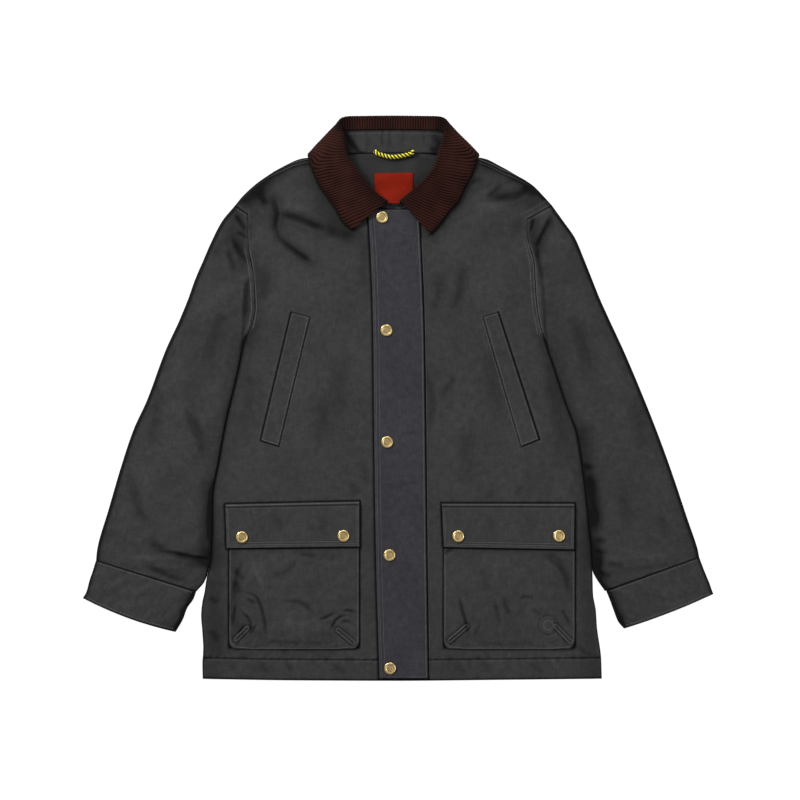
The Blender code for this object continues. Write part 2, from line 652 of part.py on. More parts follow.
def snap(name, x, y, z):
    """A press-stud cap: a low dome with a rolled rim."""
    profile = ((0.0, 0.0), (0.94, 0.0), (1.0, 0.35), (0.88, 0.8), (0.6, 0.82), (0.0, 1.0))
    sides = 14
    points, faces = [(x, y, z)], []
    for r, h in profile[1:-1]:
        for k in range(sides):
            turn = 2 * math.pi * k / sides
            points.append((x + SNAP_RADIUS * r * math.cos(turn), y + SNAP_RADIUS * r * math.sin(turn),
                           z + SNAP_HEIGHT * h))
    points.append((x, y, z + SNAP_HEIGHT))
    rings = len(profile) - 2
    for k in range(sides):
        after = (k + 1) % sides
        faces.append((0, 1 + after, 1 + k))
        for ring in range(rings - 1):
            a, b = 1 + ring * sides, 1 + (ring + 1) * sides
            faces.append((a + k, a + after, b + after, b + k))
        last = 1 + (rings - 1) * sides
        faces.append((last + k, last + after, len(points) - 1))
    return solid(name, points, faces, "snap_brass")


# ---------------------------------------------------------------- collar
def neck_point(x, side):
    """A point on the neckline and the way out of the cloth there."""
    line = curve(dict(right=RIGHT_TOP, left=LEFT_TOP, back=BACK_NECK)[side])
    y = line(x)
    slope = line(x + 0.5) - line(x - 0.5)
    steep = math.hypot(slope, 1)
    away = (-slope / steep, 1 / steep)
    return (x, y), away


def collar_frames():
    """Neck seam, roll and free edge, and two directions at the roll, for each section."""
    places = []
    for seam_x, side, seam_z, *roll_and_edge in COLLAR:
        (nx, ny), away = neck_point(seam_x, side)
        clear = SEAM if side == "back" else 3 * SEAM + 0.5 * WALL
        places.append([nx + away[0] * clear, ny + away[1] * clear, seam_z] + roll_and_edge)
    runs = [curve(list(enumerate(column))) for column in zip(*places)]
    last = len(COLLAR) - 1
    # Sections stand closer together where the collar turns under, beside the neck.
    steps = [0.5 * k for k in range(2 * last + 1)
             if k % 2 == 0 or 12 < k < 22 or 12 < 2 * last - k < 22]
    for step in steps:
        values = [run(step) for run in runs]
        seam, roll, edge = (Vector(values[k:k + 3]) for k in (0, 3, 6))
        back_down, over = (seam - roll).normalized(), (edge - roll).normalized()
        inward = (back_down + over).normalized()
        apart = back_down - over + Vector((0, 0, (seam.z - edge.z) / 8))
        apart = (apart - inward * apart.dot(inward)).normalized()
        yield seam, roll, edge, inward, apart


def grid_normals(grid):
    """Unit normals at the points of a grid, averaged from the quads round each."""
    one = grid[1:, 1:] - grid[:-1, :-1]
    other = grid[:-1, 1:] - grid[1:, :-1]
    faces = np.cross(one, other)
    total = np.zeros_like(grid)
    for rows in (slice(None, -1), slice(1, None)):
        for columns in (slice(None, -1), slice(1, None)):
            total[rows, columns] += faces
    return total / np.linalg.norm(total, axis=2, keepdims=True)


def collar_pieces():
    """The stand and the fall, from one grid of middle points from neck seam to free edge."""
    frames = list(collar_frames())
    starts = [roll + (inward + apart) * ROLL_RADIUS for seam, roll, edge, inward, apart in frames]
    joins = [frame[0].lerp(start, STAND_SHARE) for frame, start in zip(frames, starts)]
    rows = []
    for k, (seam, roll, edge, inward, apart) in enumerate(frames):
        start = starts[k]
        centre = roll + inward * ROLL_RADIUS
        end = centre - apart * ROLL_RADIUS
        # The sections cross the seam between stand and fall at a slant beside the neck.
        along_seam = (joins[min(k + 1, len(joins) - 1)] - joins[max(k - 1, 0)]).normalized()
        slant = (start - seam).normalized().cross(along_seam).length
        gap = SEAM * (1.2 + 6.5 * (1 - slant)) / max(slant, 0.12) / (start - seam).length
        row = [seam.lerp(start, STAND_SHARE * k / (STAND_COLUMNS - 1)) for k in range(STAND_COLUMNS)]
        row += [seam.lerp(start, mix(STAND_SHARE + gap, 1, k / 2)) for k in range(3)]
        for turn in (45, 90, 135):
            t = math.radians(turn)
            row.append(centre + apart * ROLL_RADIUS * math.cos(t) - inward * ROLL_RADIUS * math.sin(t))
        row += [end.lerp(edge, share) for share in (0, 0.12, 0.34, 0.56, 0.78, 0.96, 1)]
        rows.append([tuple(p) for p in row])
    grid = np.array(rows)
    normal = grid_normals(grid)
    for name, part, thickness, finish in (
            ("collar_stand", slice(0, STAND_COLUMNS), WALL, "waxed_cotton"),
            ("collar", slice(STAND_COLUMNS, None), FALL_WALL, "corduroy")):
        half = 0.5 * thickness * normal[:, part]
        wall(name, (grid[:, part] + half).tolist(), (grid[:, part] - half).tolist(), finish)


# ---------------------------------------------------------------- inside the neck
def neck_facing():
    left = curve([(y, x) for x, y in RIGHT_TOP if -103 < x < 0])
    right = curve([(y, x) for x, y in LEFT_TOP if 2 < x < 85])
    upper, lower = [], []
    for y in spread(290, 361, 10):
        side = min(y, 356)
        row_up, row_low = [], []
        for x in spread(left(side) + 7, right(side) - 7, 6):
            z = neck_lift(x, y) + ON_BACK
            row_low.append((x, y, z))
            row_up.append((x, y, z + FACING_WALL))
        upper.append(row_up)
        lower.append(row_low)
    return wall("neck_facing", upper, lower, "lining")


def label():
    upper, lower = [], []
    for y in spread(LABEL["bottom"], LABEL["top"], 7):
        row_up, row_low = [], []
        for x in spread(LABEL["left"], LABEL["right"], 5):
            z = neck_lift(x, y) + ON_BACK + ON_FACING
            row_low.append((x, y, z))
            row_up.append((x, y, z + LABEL_WALL))
        upper.append(row_up)
        lower.append(row_low)
    return wall("label", upper, lower, "label_cloth")


def hang_loop():
    shape = bpy.data.curves.new("hang_loop", "CURVE")
    shape.dimensions = "3D"
    shape.bevel_depth = 0.5 * LOOP_DIAMETER * MM
    shape.bevel_resolution = 2
    shape.use_fill_caps = True
    count = 13
    line = shape.splines.new("POLY")
    line.points.add(count - 1)
    ys = curve([(x, y) for x, y, z in LOOP])
    zs = curve([(x, z) for x, y, z in LOOP])
    for k, x in enumerate(spread(LOOP[0][0], LOOP[-1][0], count)):
        line.points[k].co = (x * MM, ys(x) * MM, zs(x) * MM, 1)
    shape.materials.append(material("loop_cord"))
    made = bpy.data.objects.new("hang_loop", shape)
    bpy.context.collection.objects.link(made)
    return made


def build():
    for old in list(bpy.data.objects):
        bpy.data.objects.remove(old)
    back()
    right_front()
    left_front()
    sleeve("right_sleeve", RIGHT_SLEEVE, RIGHT_SIDE, -1)
    sleeve("left_sleeve", LEFT_SLEEVE, LEFT_SIDE, 1)
    cuff("right_cuff", RIGHT_CUFF, CUFF_BOW["right"])
    cuff("left_cuff", LEFT_CUFF, CUFF_BOW["left"])
    storm_flap()
    for side, size, corners, welt in (("right", RIGHT_POCKET, RIGHT_FLAP, RIGHT_WELT),
                                      ("left", LEFT_POCKET, LEFT_FLAP, LEFT_WELT)):
        pocket(side + "_pocket", **size)
        patch(side + "_pocket_flap", corners, "waxed_cotton", DOUBLE, flap_height, across=9, down=8)
        patch(side + "_welt", welt, "waxed_cotton", DOUBLE, lambda x, y, v: ON_FRONT, down=7)
        for k, (x, y) in enumerate(FLAP_SNAPS[side]):
            snap(f"{side}_pocket_snap_{k + 1}", x, y, FLAP_OVER + DOUBLE + SEAM)
    for k, (x, y) in enumerate(STORM_SNAPS):
        snap(f"storm_snap_{k + 1}", x, y, ON_FRONT + FLAP_WALL + SEAM)
    collar_pieces()
    neck_facing()
    label()
    hang_loop()


build()
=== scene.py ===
"""Looks of a waxed cotton jacket that lies buttoned up on its back.

Every cloth piece is a thin shell on the form of its CAD solid, with the same sizes and
curves, a finer grid, its creases, its seams and its stitches. Sizes are in millimetres in
the model's own frame: +X to the viewer's right, +Y up to the collar, +Z out of the front.
"Right" and "left" in the names are the wearer's.
"""

import math

import bpy
import numpy as np
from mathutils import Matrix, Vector
from mathutils.bvhtree import BVHTree


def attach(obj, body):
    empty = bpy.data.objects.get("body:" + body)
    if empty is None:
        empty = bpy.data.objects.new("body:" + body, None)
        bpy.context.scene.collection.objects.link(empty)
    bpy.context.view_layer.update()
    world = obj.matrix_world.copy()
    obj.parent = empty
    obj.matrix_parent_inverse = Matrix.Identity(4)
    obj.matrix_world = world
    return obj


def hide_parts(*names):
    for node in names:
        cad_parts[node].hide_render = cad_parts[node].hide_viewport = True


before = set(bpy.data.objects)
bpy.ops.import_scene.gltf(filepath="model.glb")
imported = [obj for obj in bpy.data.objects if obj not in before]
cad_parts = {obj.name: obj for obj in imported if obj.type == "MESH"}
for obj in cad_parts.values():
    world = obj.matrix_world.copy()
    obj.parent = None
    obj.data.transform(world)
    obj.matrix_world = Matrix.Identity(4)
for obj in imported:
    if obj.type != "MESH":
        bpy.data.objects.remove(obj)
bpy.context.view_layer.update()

MM = 0.001

# ---------------------------------------------------------------- sizes of the solids, mm
WALL = 2.5
DOUBLE = 2.0
FLAP_WALL = 2.5
FALL_WALL = 3.0
SEAM = 0.3
HOLLOW = 1.5
MOST_HOLLOW = 3.7
ROLL = 18.0
NECK_LIFT = 3.9
NECK_HOLLOW = 1.0
NECK_SLACK = 0.7
CENTRE_X = 1.0
NECK_X = -9.0
SNAP_RADIUS = 9.0
SNAP_HEIGHT = 2.2
LABEL_WALL = 1.0
FACING_WALL = 1.0
HEM_Y, TIP_Y = -420.0, 290.0
UNDERARM = (84.0, 104.0)      # the side edges close to a seam between these heights
LIP = 0.25
FRONT_TOP = 2 * WALL + HOLLOW
ON_FRONT = FRONT_TOP + SEAM
FLAP_OVER = ON_FRONT + DOUBLE + SEAM
LOOSE = 0.25               # the facing and the label lie a little above what is under them
ON_BACK = WALL + SEAM + LOOSE

RIGHT_SIDE = (
    # y, x
    (-420, -293.3), (-396, -293.8), (-377, -292.4), (-348, -294), (-325, -295.7), (-306, -294),
    (-290, -290.6), (-268, -287.2), (-242, -281.5), (-197, -279),
    (-152, -278.5), (-92, -268.5), (-32, -257.5), (28, -243), (58, -236.5), (84, -231),
    (111, -219), (135, -214.5), (180, -216), (226, -224), (252, -225), (270, -225.2),
    (276, -225.5), (280, -231), (284, -236.6), (290, -245),
)
LEFT_SIDE = (
    (-420, 305.8), (-390, 304.8), (-341, 298.4), (-318, 296.9), (-293, 292.6), (-268, 291.9),
    (-231, 290.5), (-189, 286),
    (-130, 279.5), (-95, 275), (-54, 268), (-5, 250.5), (43, 235), (88, 220),
    (131, 209), (178, 205.5), (204, 204), (238, 195), (256, 193.5), (269, 193.5),
    (272, 198.8), (276, 206), (283, 218.5), (290, 231),
)
RIGHT_TOP = (
    # x, y
    (-245, 290), (-232, 305.5), (-206, 328), (-176, 346), (-146, 359), (-134, 361),
    (-118, 361), (-102, 360), (-96, 352), (-88, 341), (-74, 321), (-58, 303.5),
    (-39, 292), (-20, 286.5), (1, 284.5),
)
LEFT_TOP = (
    (231, 290), (217, 305.5), (202, 320.5), (174, 337.5), (153, 348.5), (131, 359),
    (120, 361), (103, 361), (84, 360), (78, 352), (70, 341), (57, 321), (41, 303.5),
    (24, 292), (12, 287), (1, 284.5),
)
BACK_NECK = ((-102, 360), (-90, 364.5), (-70, 367), (-9, 368), (52, 367), (72, 364.5), (84, 360))
HEM = ((-293.3, -420.6), (-150, -422.8), (0, -423.4), (150, -422), (305.8, -420.3))
RIGHT_SLEEVE = (
    # inner y, away from the body's edge, outer x, outer y
    (276, 0.3, -245.5, 289.4), (249, 0.3, -264, 267), (222, 0.3, -280, 236.5),
    (196, 0.3, -292, 209), (166, 0.3, -304.5, 180), (127, 0.3, -316, 148),
    (92, 0.3, -329, 116.5), (58, 0.3, -349, 73), (-17, 0.3, -377, -2),
    (-62, 0.3, -397.5, -47), (-137, 0.3, -417.5, -107), (-197, 0.3, -435, -167),
    (-242, 0.3, -450, -217), (-264, 0.35, -452.4, -230), (-275, 2.8, -453, -236),
    (-289.5, 12.9, -453.5, -242),
)
LEFT_SLEEVE = (
    (269, 0.3, 231.5, 289.4), (249, 0.3, 247, 268), (228, 0.3, 265.5, 241.5),
    (200, 0.3, 278, 212.5), (166, 0.3, 290, 182.5), (131, 0.3, 303, 150),
    (91, 0.3, 317, 119), (55, 0.3, 339, 71.5), (-12, 0.3, 370, -2),
    (-75, 0.3, 393, -60.5), (-137, 0.3, 415, -122), (-193, 0.3, 434, -179),
    (-243, 0.3, 447, -216.5), (-257, 0.4, 449, -223), (-268, 4.7, 450.3, -228),
    (-288.5, 18.2, 452, -237),
)
SLEEVE_GAP = 1.5
SLEEVE_PUFF = 1.4
SLEEVE_LENGTH = 600.0
ARM_SEAM = 0.12            # the cloth meets where the solids stand a little apart
TUCK = 0.22
HEAD_REACH = 1.0
WRIST_REACH = 0.35
CUFF_BOW = dict(right=5.0, left=2.6)
RIGHT_CUFF = (
    # outer x, outer y, inner x, inner y
    (-453.6, -242.6, -303.2, -289.9), (-459, -260, -307.4, -301), (-464, -275, -316.4, -314),
    (-468, -290, -323, -331), (-473.4, -299, -334, -350),
)
LEFT_CUFF = (
    (452, -237.6, 312.4, -288.6), (460.5, -260, 317.4, -301), (468, -278, 324, -319),
    (471, -287, 330, -334), (473.4, -293, 339, -345),
)
STORM_FLAP = (
    # y, left x, right x
    (-420, -29, 45.5), (-229, -34.5, 43), (-47, -37, 41), (103, -38.5, 39),
    (213, -42, 35), (284.6, -46.5, 31.5),
)
STORM_SNAPS = ((-24, 272), (-17.5, 102.5), (-16.5, -65), (-13, -234.5), (-12, -404))
RIGHT_POCKET = dict(left=-254, right=-58, top=-171, bottom=-375, corner=12)
LEFT_POCKET = dict(left=68, right=265.5, top=-171, bottom=-375, corner=12)
POCKET_GAP = 1.6
UNDER_FLAP = -229.0
# Flaps and welts: top left, top right, bottom right, bottom left.
RIGHT_FLAP = ((-260, -157.4), (-57, -153), (-57, -222.6), (-258, -225))
LEFT_FLAP = ((64.4, -156.2), (265.4, -156.3), (264.6, -226.9), (67.4, -223.2))
FLAP_SNAPS = dict(right=((-234, -207.5), (-82, -205.5)), left=((90, -206), (241, -205.5)))
RIGHT_WELT = ((-160.5, 130), (-132, 123), (-179, -72), (-206.5, -63))
LEFT_WELT = ((127, 123), (150, 130), (212, -61), (184, -72))
COLLAR = (
    # seam x, side of the neck, seam z, roll x, y, z, edge x, y, z
    (-17, "right", 7.0, -16, 295, 15.5, -68, 253, 9.2),
    (-30, "right", 7.0, -27, 302.5, 18, -82, 264, 9.0),
    (-46, "right", 7.0, -40, 313, 20.5, -93, 284, 9.2),
    (-60, "right", 7.0, -52.5, 327.5, 22.5, -104.5, 300.5, 9.6),
    (-73, "right", 7.4, -65, 344, 24, -116.5, 317.5, 11.2),
    (-85, "right", 8.6, -74, 358, 24, -124.5, 334, 13.2),
    (-92, "right", 10.2, -80, 375, 22, -129.5, 347, 13.8),
    (-98, "right", 10.8, -82.5, 391, 19.5, -133, 357, 12.6),
    (-96, "back", 9.8, -86, 405, 16, -135.5, 363, 9.2),
    (-90, "back", 9.0, -87.5, 414, 11.5, -135, 366, 5.6),
    (-80, "back", 7.8, -83, 420.5, 7.4, -124, 359, 1.8),
    (-66, "back", 6.6, -71, 422.8, 4.9, -106, 352, 1.6),
    (-48, "back", 5.6, -50, 423.2, 3.7, -70, 350, 1.5),
    (-9, "back", 5.4, -9, 423.6, 3.6, -9, 350, 1.5),
    (30, "back", 5.6, 33, 423.2, 3.7, 52, 350, 1.5),
    (49, "back", 6.6, 55, 422.8, 4.9, 90, 352, 1.6),
    (62, "back", 7.8, 67, 420.5, 7.4, 109, 359, 1.8),
    (72, "back", 9.0, 72, 414, 11.5, 121, 366, 5.6),
    (78, "back", 9.8, 71, 405, 16, 121.5, 363, 9.2),
    (80, "left", 10.8, 67.5, 389, 19.5, 119, 359, 12.2),
    (75, "left", 10.2, 62, 371, 22, 115, 347, 13.4),
    (67, "left", 8.6, 57, 352, 24, 108.5, 332, 12.8),
    (56, "left", 7.4, 49.5, 339, 24, 99.6, 315, 11.2),
    (43, "left", 7.0, 38, 325, 22.5, 90.6, 296, 9.6),
    (29, "left", 7.0, 26, 314.5, 20.5, 76.4, 280, 9.2),
    (15, "left", 7.0, 13.5, 304, 18, 61.4, 260, 9.0),
    (4, "left", 7.0, 3, 295, 15.5, 48, 246.5, 9.2),
)
STAND_SHARE = 0.66
ROLL_RADIUS = 2.1
LABEL = dict(left=-35.5, right=22.5, top=338, bottom=293)
LOOP_LAY = 10.8            # one turn of its twist
LOOP = ((-35, 371, 10.4), (-30, 367, 10.8), (-9, 362, 11.2), (17, 366.5, 10.8), (23, 371.5, 10.4))

# Large folds that are in the solids too.
FRONT_FOLDS = (
    # x1, y1, x2, y2, half_width, height
    (-206, 322, -176, 268, 26, -1.2), (-186, 308, -122, 250, 24, 1.6),
    (-178, 262, -112, 226, 24, -1.2), (-214, 250, -150, 214, 24, 1.4),
    (192, 318, 128, 300, 24, -1.2), (176, 290, 118, 262, 26, 1.6),
    (186, 262, 170, 214, 22, -1.2), (92, 226, 84, 140, 24, 1.4),
    (132, 232, 116, 158, 24, -1.0), (-100, 200, -84, 130, 24, 1.2),
)
SLEEVE_FOLDS = (
    # along (0 shoulder, 1 cuff), across (0 inner, 1 outer), twice, half_width mm, height
    (0.06, 0.15, 0.10, 0.75, 20, 1.4), (0.14, 0.10, 0.20, 0.60, 22, -1.2),
    (0.22, 0.20, 0.32, 0.80, 26, 1.5), (0.44, 0.25, 0.52, 0.75, 26, -1.0),
    (0.55, 0.20, 0.72, 0.45, 26, 1.6), (0.62, 0.65, 0.76, 0.80, 24, -1.0),
    (0.86, 0.15, 0.92, 0.60, 22, -1.2), (0.94, 0.20, 0.97, 0.75, 18, 1.5),
)

# ---------------------------------------------------------------- creases
# Each is a soft trough, or a ridge where its depth is negative: depth, half width, skew (how
# much wider it is to the left of its run than to the right, -1 to 1) and its line's x, y.
RIGHT_FRONT_CREASES = (
    (2.3, 6.5, 0.2, (-186, 280), (-170, 274), (-150, 269), (-132, 261), (-104, 251)),
    (1.0, 12, 0.0, (-112, 255), (-96, 247), (-80, 243), (-62, 244)),
    (1.7, 5.5, -0.3, (-193, 312), (-187, 298), (-181, 278), (-183, 258), (-178, 244), (-171, 234)),
    (1.9, 5.5, -0.3, (-184, 250), (-176, 240), (-166, 231), (-150, 219), (-132, 206), (-118, 197)),
    (1.1, 7, 0.3, (-214, 320), (-204, 302), (-197, 284)),
    (1.3, 4.5, 0.0, (-222, 312), (-208, 303), (-191, 288)),
    (0.7, 4, 0.0, (-226, 268), (-220, 250), (-219, 232)),
    (0.7, 12, 0.0, (-204, 204), (-198, 178), (-196, 140)),
    (0.7, 10, 0.0, (-52, 240), (-50, 200), (-50, 150)),
    (0.8, 6, 0.3, (-56, -88), (-50, -110), (-44, -140)),
    (0.7, 6, 0.0, (-72, -122), (-66, -136), (-58, -149)),
    (0.6, 16, 0.0, (-120, 20), (-112, -30), (-118, -84)),
    (0.6, 18, 0.0, (-80, 80), (-88, 20), (-82, -40)),
    (0.6, 16, 0.0, (-226, 60), (-222, 0), (-236, -70)),
    (0.8, 5, 0.0, (-178, -376), (-170, -381), (-160, -389)),
    (0.8, 5, 0.0, (-206, -392), (-202, -404), (-190, -415)),
    (0.8, 5, 0.0, (-174, -394), (-164, -402), (-156, -412)),
    (0.7, 6, 0.0, (-102, -400), (-88, -408), (-74, -415)),
    (0.7, 5, 0.0, (-256, -394), (-250, -403), (-240, -412)),
    (0.9, 6, 0.2, (-287, -298), (-279, -302), (-270, -312)),
    (0.8, 6, 0.0, (-286, -348), (-276, -356), (-268, -368)),
    (-0.7, 8, 0.0, (-160, 290), (-146, 283), (-126, 277)),
)
LEFT_FRONT_CREASES = (
    (1.8, 8, 0.2, (130, 300), (150, 300), (176, 303), (192, 311), (204, 321)),
    (0.7, 5, 0.0, (106, 322), (118, 326), (130, 327)),
    (1.5, 6, 0.2, (158, 324), (150, 315), (142, 308), (130, 298)),
    (0.7, 7, -0.2, (160, 328), (174, 326), (188, 322)),
    (1.1, 8, 0.0, (182, 318), (194, 312), (208, 302)),
    (1.0, 9, 0.2, (93, 210), (95, 172), (88, 146), (78, 124)),
    (0.7, 9, 0.0, (56, 196), (63, 171), (60, 148), (50, 118)),
    (1.0, 8, -0.3, (39, 46), (50, 18), (54, -8), (46, -56)),
    (0.8, 7, 0.0, (90, 38), (78, 20), (62, -4)),
    (0.9, 15, 0.0, (221, 72), (232, 10), (246, -60), (256, -118)),
    (0.7, 7, 0.0, (124, -153), (138, -146), (148, -132)),
    (0.6, 6, 0.0, (176, -148), (182, -138), (184, -128)),
    (0.7, 9, 0.0, (186, 278), (180, 258), (177, 238)),
    (0.6, 18, 0.0, (150, 90), (142, 40), (152, -30)),
    (0.6, 16, 0.0, (96, -40), (104, -90), (98, -140)),
    (0.8, 6, 0.0, (266, -366), (274, -377), (286, -388)),
    (0.7, 5, 0.0, (120, -394), (132, -402), (140, -414)),
    (0.7, 5, 0.0, (196, -396), (204, -404), (222, -412)),
    (0.6, 6, 0.0, (78, -402), (94, -408), (104, -416)),
    (-0.7, 9, 0.0, (122, 290), (146, 286), (170, 290)),
)
RIGHT_SLEEVE_CREASES = (
    (1.9, 4, 0.0, (-247, 279), (-238, 267), (-228, 252), (-222, 246)),
    (1.9, 3.5, 0.0, (-243, 250), (-234, 246), (-224, 239)),
    (1.7, 6, 0.3, (-250, 246), (-243, 228), (-234, 212), (-220, 200)),
    (1.3, 6, 0.0, (-257, 226), (-250, 206), (-241, 184)),
    (2.2, 5, 0.3, (-222, 186), (-227, 168), (-229, 144), (-232, 110)),
    (1.4, 4, 0.2, (-228, 150), (-231, 110), (-233, 76), (-238, 40)),
    (1.1, 9, 0.2, (-316, -14), (-310, -36), (-297, -70), (-292, -100)),
    (0.9, 7, 0.0, (-305, -26), (-298, -46), (-290, -66)),
    (1.1, 9, -0.2, (-402, -104), (-392, -152), (-384, -175), (-364, -198)),
    (2.0, 4.5, -0.3, (-372, -228), (-340, -231), (-310, -237), (-284, -242), (-262, -244)),
    (1.5, 7, 0.2, (-386, -243), (-362, -260), (-336, -271), (-308, -277)),
    (1.1, 7, 0.0, (-376, -217), (-362, -222), (-346, -226)),
    (1.4, 8, 0.0, (-282, -150), (-277, -170), (-280, -196)),
    (0.8, 14, 0.0, (-262, 150), (-274, 90), (-290, 30)),
    (0.7, 12, 0.0, (-350, 20), (-362, -30), (-372, -84)),
    (-0.9, 8, 0.0, (-262, 240), (-256, 212), (-246, 190)),
)
LEFT_SLEEVE_CREASES = (
    (1.9, 4.5, 0.2, (234, 282), (226, 266), (217, 248), (205, 224)),
    (1.6, 3, 0.0, (203, 273), (202, 262), (199, 248)),
    (1.8, 4, -0.2, (206, 232), (211, 212), (215, 192), (218, 170)),
    (1.3, 3, -0.2, (212, 205), (217, 170), (220, 130), (222, 100), (228, 60)),
    (1.6, 11, 0.0, (284, -110), (292, -140), (297, -176), (296, -208)),
    (1.2, 7, 0.0, (276, -96), (284, -104), (296, -100)),
    (1.3, 5, 0.0, (312, -249), (322, -249), (340, -252)),
    (1.6, 5, 0.0, (298, -259), (308, -264), (324, -269)),
    (1.0, 5, 0.0, (294, -229), (304, -231), (318, -232)),
    (0.9, 5, 0.0, (296, -212), (306, -214), (316, -213)),
    (0.8, 14, 0.0, (262, 140), (276, 80), (294, 20)),
    (0.7, 14, 0.0, (350, 10), (362, -46), (376, -96)),
    (0.7, 12, 0.0, (330, -120), (342, -164), (344, -206)),
    (0.7, 8, 0.0, (386, -170), (398, -190), (402, -214)),
    (-0.4, 9, 0.0, (240, 262), (234, 240), (226, 222)),
)
RIGHT_POCKET_CREASES = (
    (2.1, 2.9, -0.4, (-234, -292), (-222, -292), (-211, -299), (-204, -315), (-199, -337), (-196, -366)),
    (-0.9, 4, 0.0, (-222, -232), (-216, -253), (-208, -277), (-203, -302)),
    (1.4, 5, 0.0, (-246, -254), (-237, -266), (-228, -276)),
    (1.1, 5, 0.0, (-230, -236), (-240, -262), (-245, -292), (-247, -314)),
    (-0.7, 3.5, 0.0, (-218, -240), (-208, -268), (-199, -290), (-194, -316)),
    (1.2, 5, 0.0, (-248, -272), (-240, -284), (-236, -296)),
    (1.5, 3, 0.0, (-242, -302), (-246, -326), (-247, -346)),
    (1.2, 2.8, 0.0, (-250, -300), (-252, -322), (-248, -342)),
    (2.0, 2.7, 0.0, (-236, -318), (-223, -332), (-220, -344), (-220, -355)),
    (1.6, 2.7, 0.0, (-212, -338), (-216, -346), (-221, -356)),
    (1.1, 2.8, 0.0, (-230, -334), (-234, -346), (-242, -354)),
    (1.2, 4, 0.0, (-228, -300), (-221, -304), (-214, -310)),
    (2.1, 2.9, 0.2, (-100, -351), (-96, -338), (-88, -329), (-76, -324)),
    (1.6, 3.5, 0.0, (-122, -332), (-108, -329), (-93, -320)),
    (1.6, 3, 0.0, (-85, -320), (-74, -318), (-65, -322)),
    (1.2, 3, 0.0, (-86, -338), (-78, -334), (-68, -338)),
    (1.1, 5.5, 0.0, (-178, -306), (-154, -305), (-138, -312), (-124, -330)),
    (1.1, 5, 0.0, (-150, -232), (-138, -236), (-118, -238)),
    (1.0, 7, 0.0, (-196, -254), (-180, -264), (-164, -258), (-148, -240)),
    (0.6, 4, 0.0, (-206, -364), (-160, -367), (-110, -367), (-84, -362)),
    (-0.5, 8, 0.0, (-180, -330), (-150, -338), (-124, -346)),
)
LEFT_POCKET_CREASES = (
    (2.2, 2.9, -0.3, (91, -292), (97, -318), (103, -338), (108, -364)),
    (1.2, 4.5, 0.0, (158, -294), (161, -311), (170, -330)),
    (1.1, 4, 0.0, (142, -300), (150, -326), (152, -348)),
    (1.6, 5.5, 0.2, (212, -232), (232, -245), (247, -260), (254, -280), (257, -304)),
    (1.1, 5, 0.0, (222, -232), (238, -240), (250, -250)),
    (1.5, 3, 0.0, (242, -314), (252, -328), (259, -342)),
    (1.0, 4.5, 0.0, (114, -358), (119, -346), (125, -336)),
    (1.0, 4.5, 0.0, (66, -234), (74, -230), (84, -225)),
    (1.2, 4.5, 0.0, (180, -300), (192, -298), (206, -300)),
    (0.9, 4, 0.0, (200, -316), (210, -322), (214, -330)),
    (0.5, 4, 0.0, (112, -367), (160, -369), (212, -367)),
    (0.7, 8, 0.0, (120, -250), (132, -272), (130, -300)),
    (-0.5, 7, 0.0, (196, -262), (200, -290), (196, -316)),
)
STORM_FLAP_CREASES = (
    (0.5, 3, 0.0, (5, -53), (16, -53), (28, -51)),
    (0.5, 3, 0.0, (4, -128), (16, -128), (29, -126)),
    (0.4, 5, 0.0, (-2, 224), (8, 232), (14, 240)),
)
FLAP_CREASES = dict(
    right=((0.4, 8, 0.0, (-190, -176), (-176, -190), (-172, -204)),
           (0.4, 8, 0.0, (-120, -172), (-112, -190), (-118, -206))),
    left=((0.4, 8, 0.0, (130, -174), (138, -188), (134, -206)),
          (0.4, 8, 0.0, (200, -172), (196, -190), (206, -206))),
)
BACK_CREASES = (
    (-0.9, 12, 0.0, (-180, 240), (-120, 200), (-70, 190)),
    (-0.9, 12, 0.0, (190, 236), (130, 206), (74, 200)),
    (-0.8, 14, 0.0, (-230, 40), (-190, -30), (-196, -110)),
    (-0.8, 14, 0.0, (236, 20), (200, -50), (204, -120)),
    (-0.7, 14, 0.0, (-60, 90), (-20, 40), (-30, -40)),
    (-0.7, 12, 0.0, (40, -60), (80, -130), (60, -210)),
    (-0.8, 12, 0.0, (-150, -180), (-100, -240), (-110, -300)),
    (-0.8, 12, 0.0, (150, -240), (180, -300), (170, -350)),
    (-0.6, 12, 0.0, (-30, 280), (0, 240), (36, 250)),
)

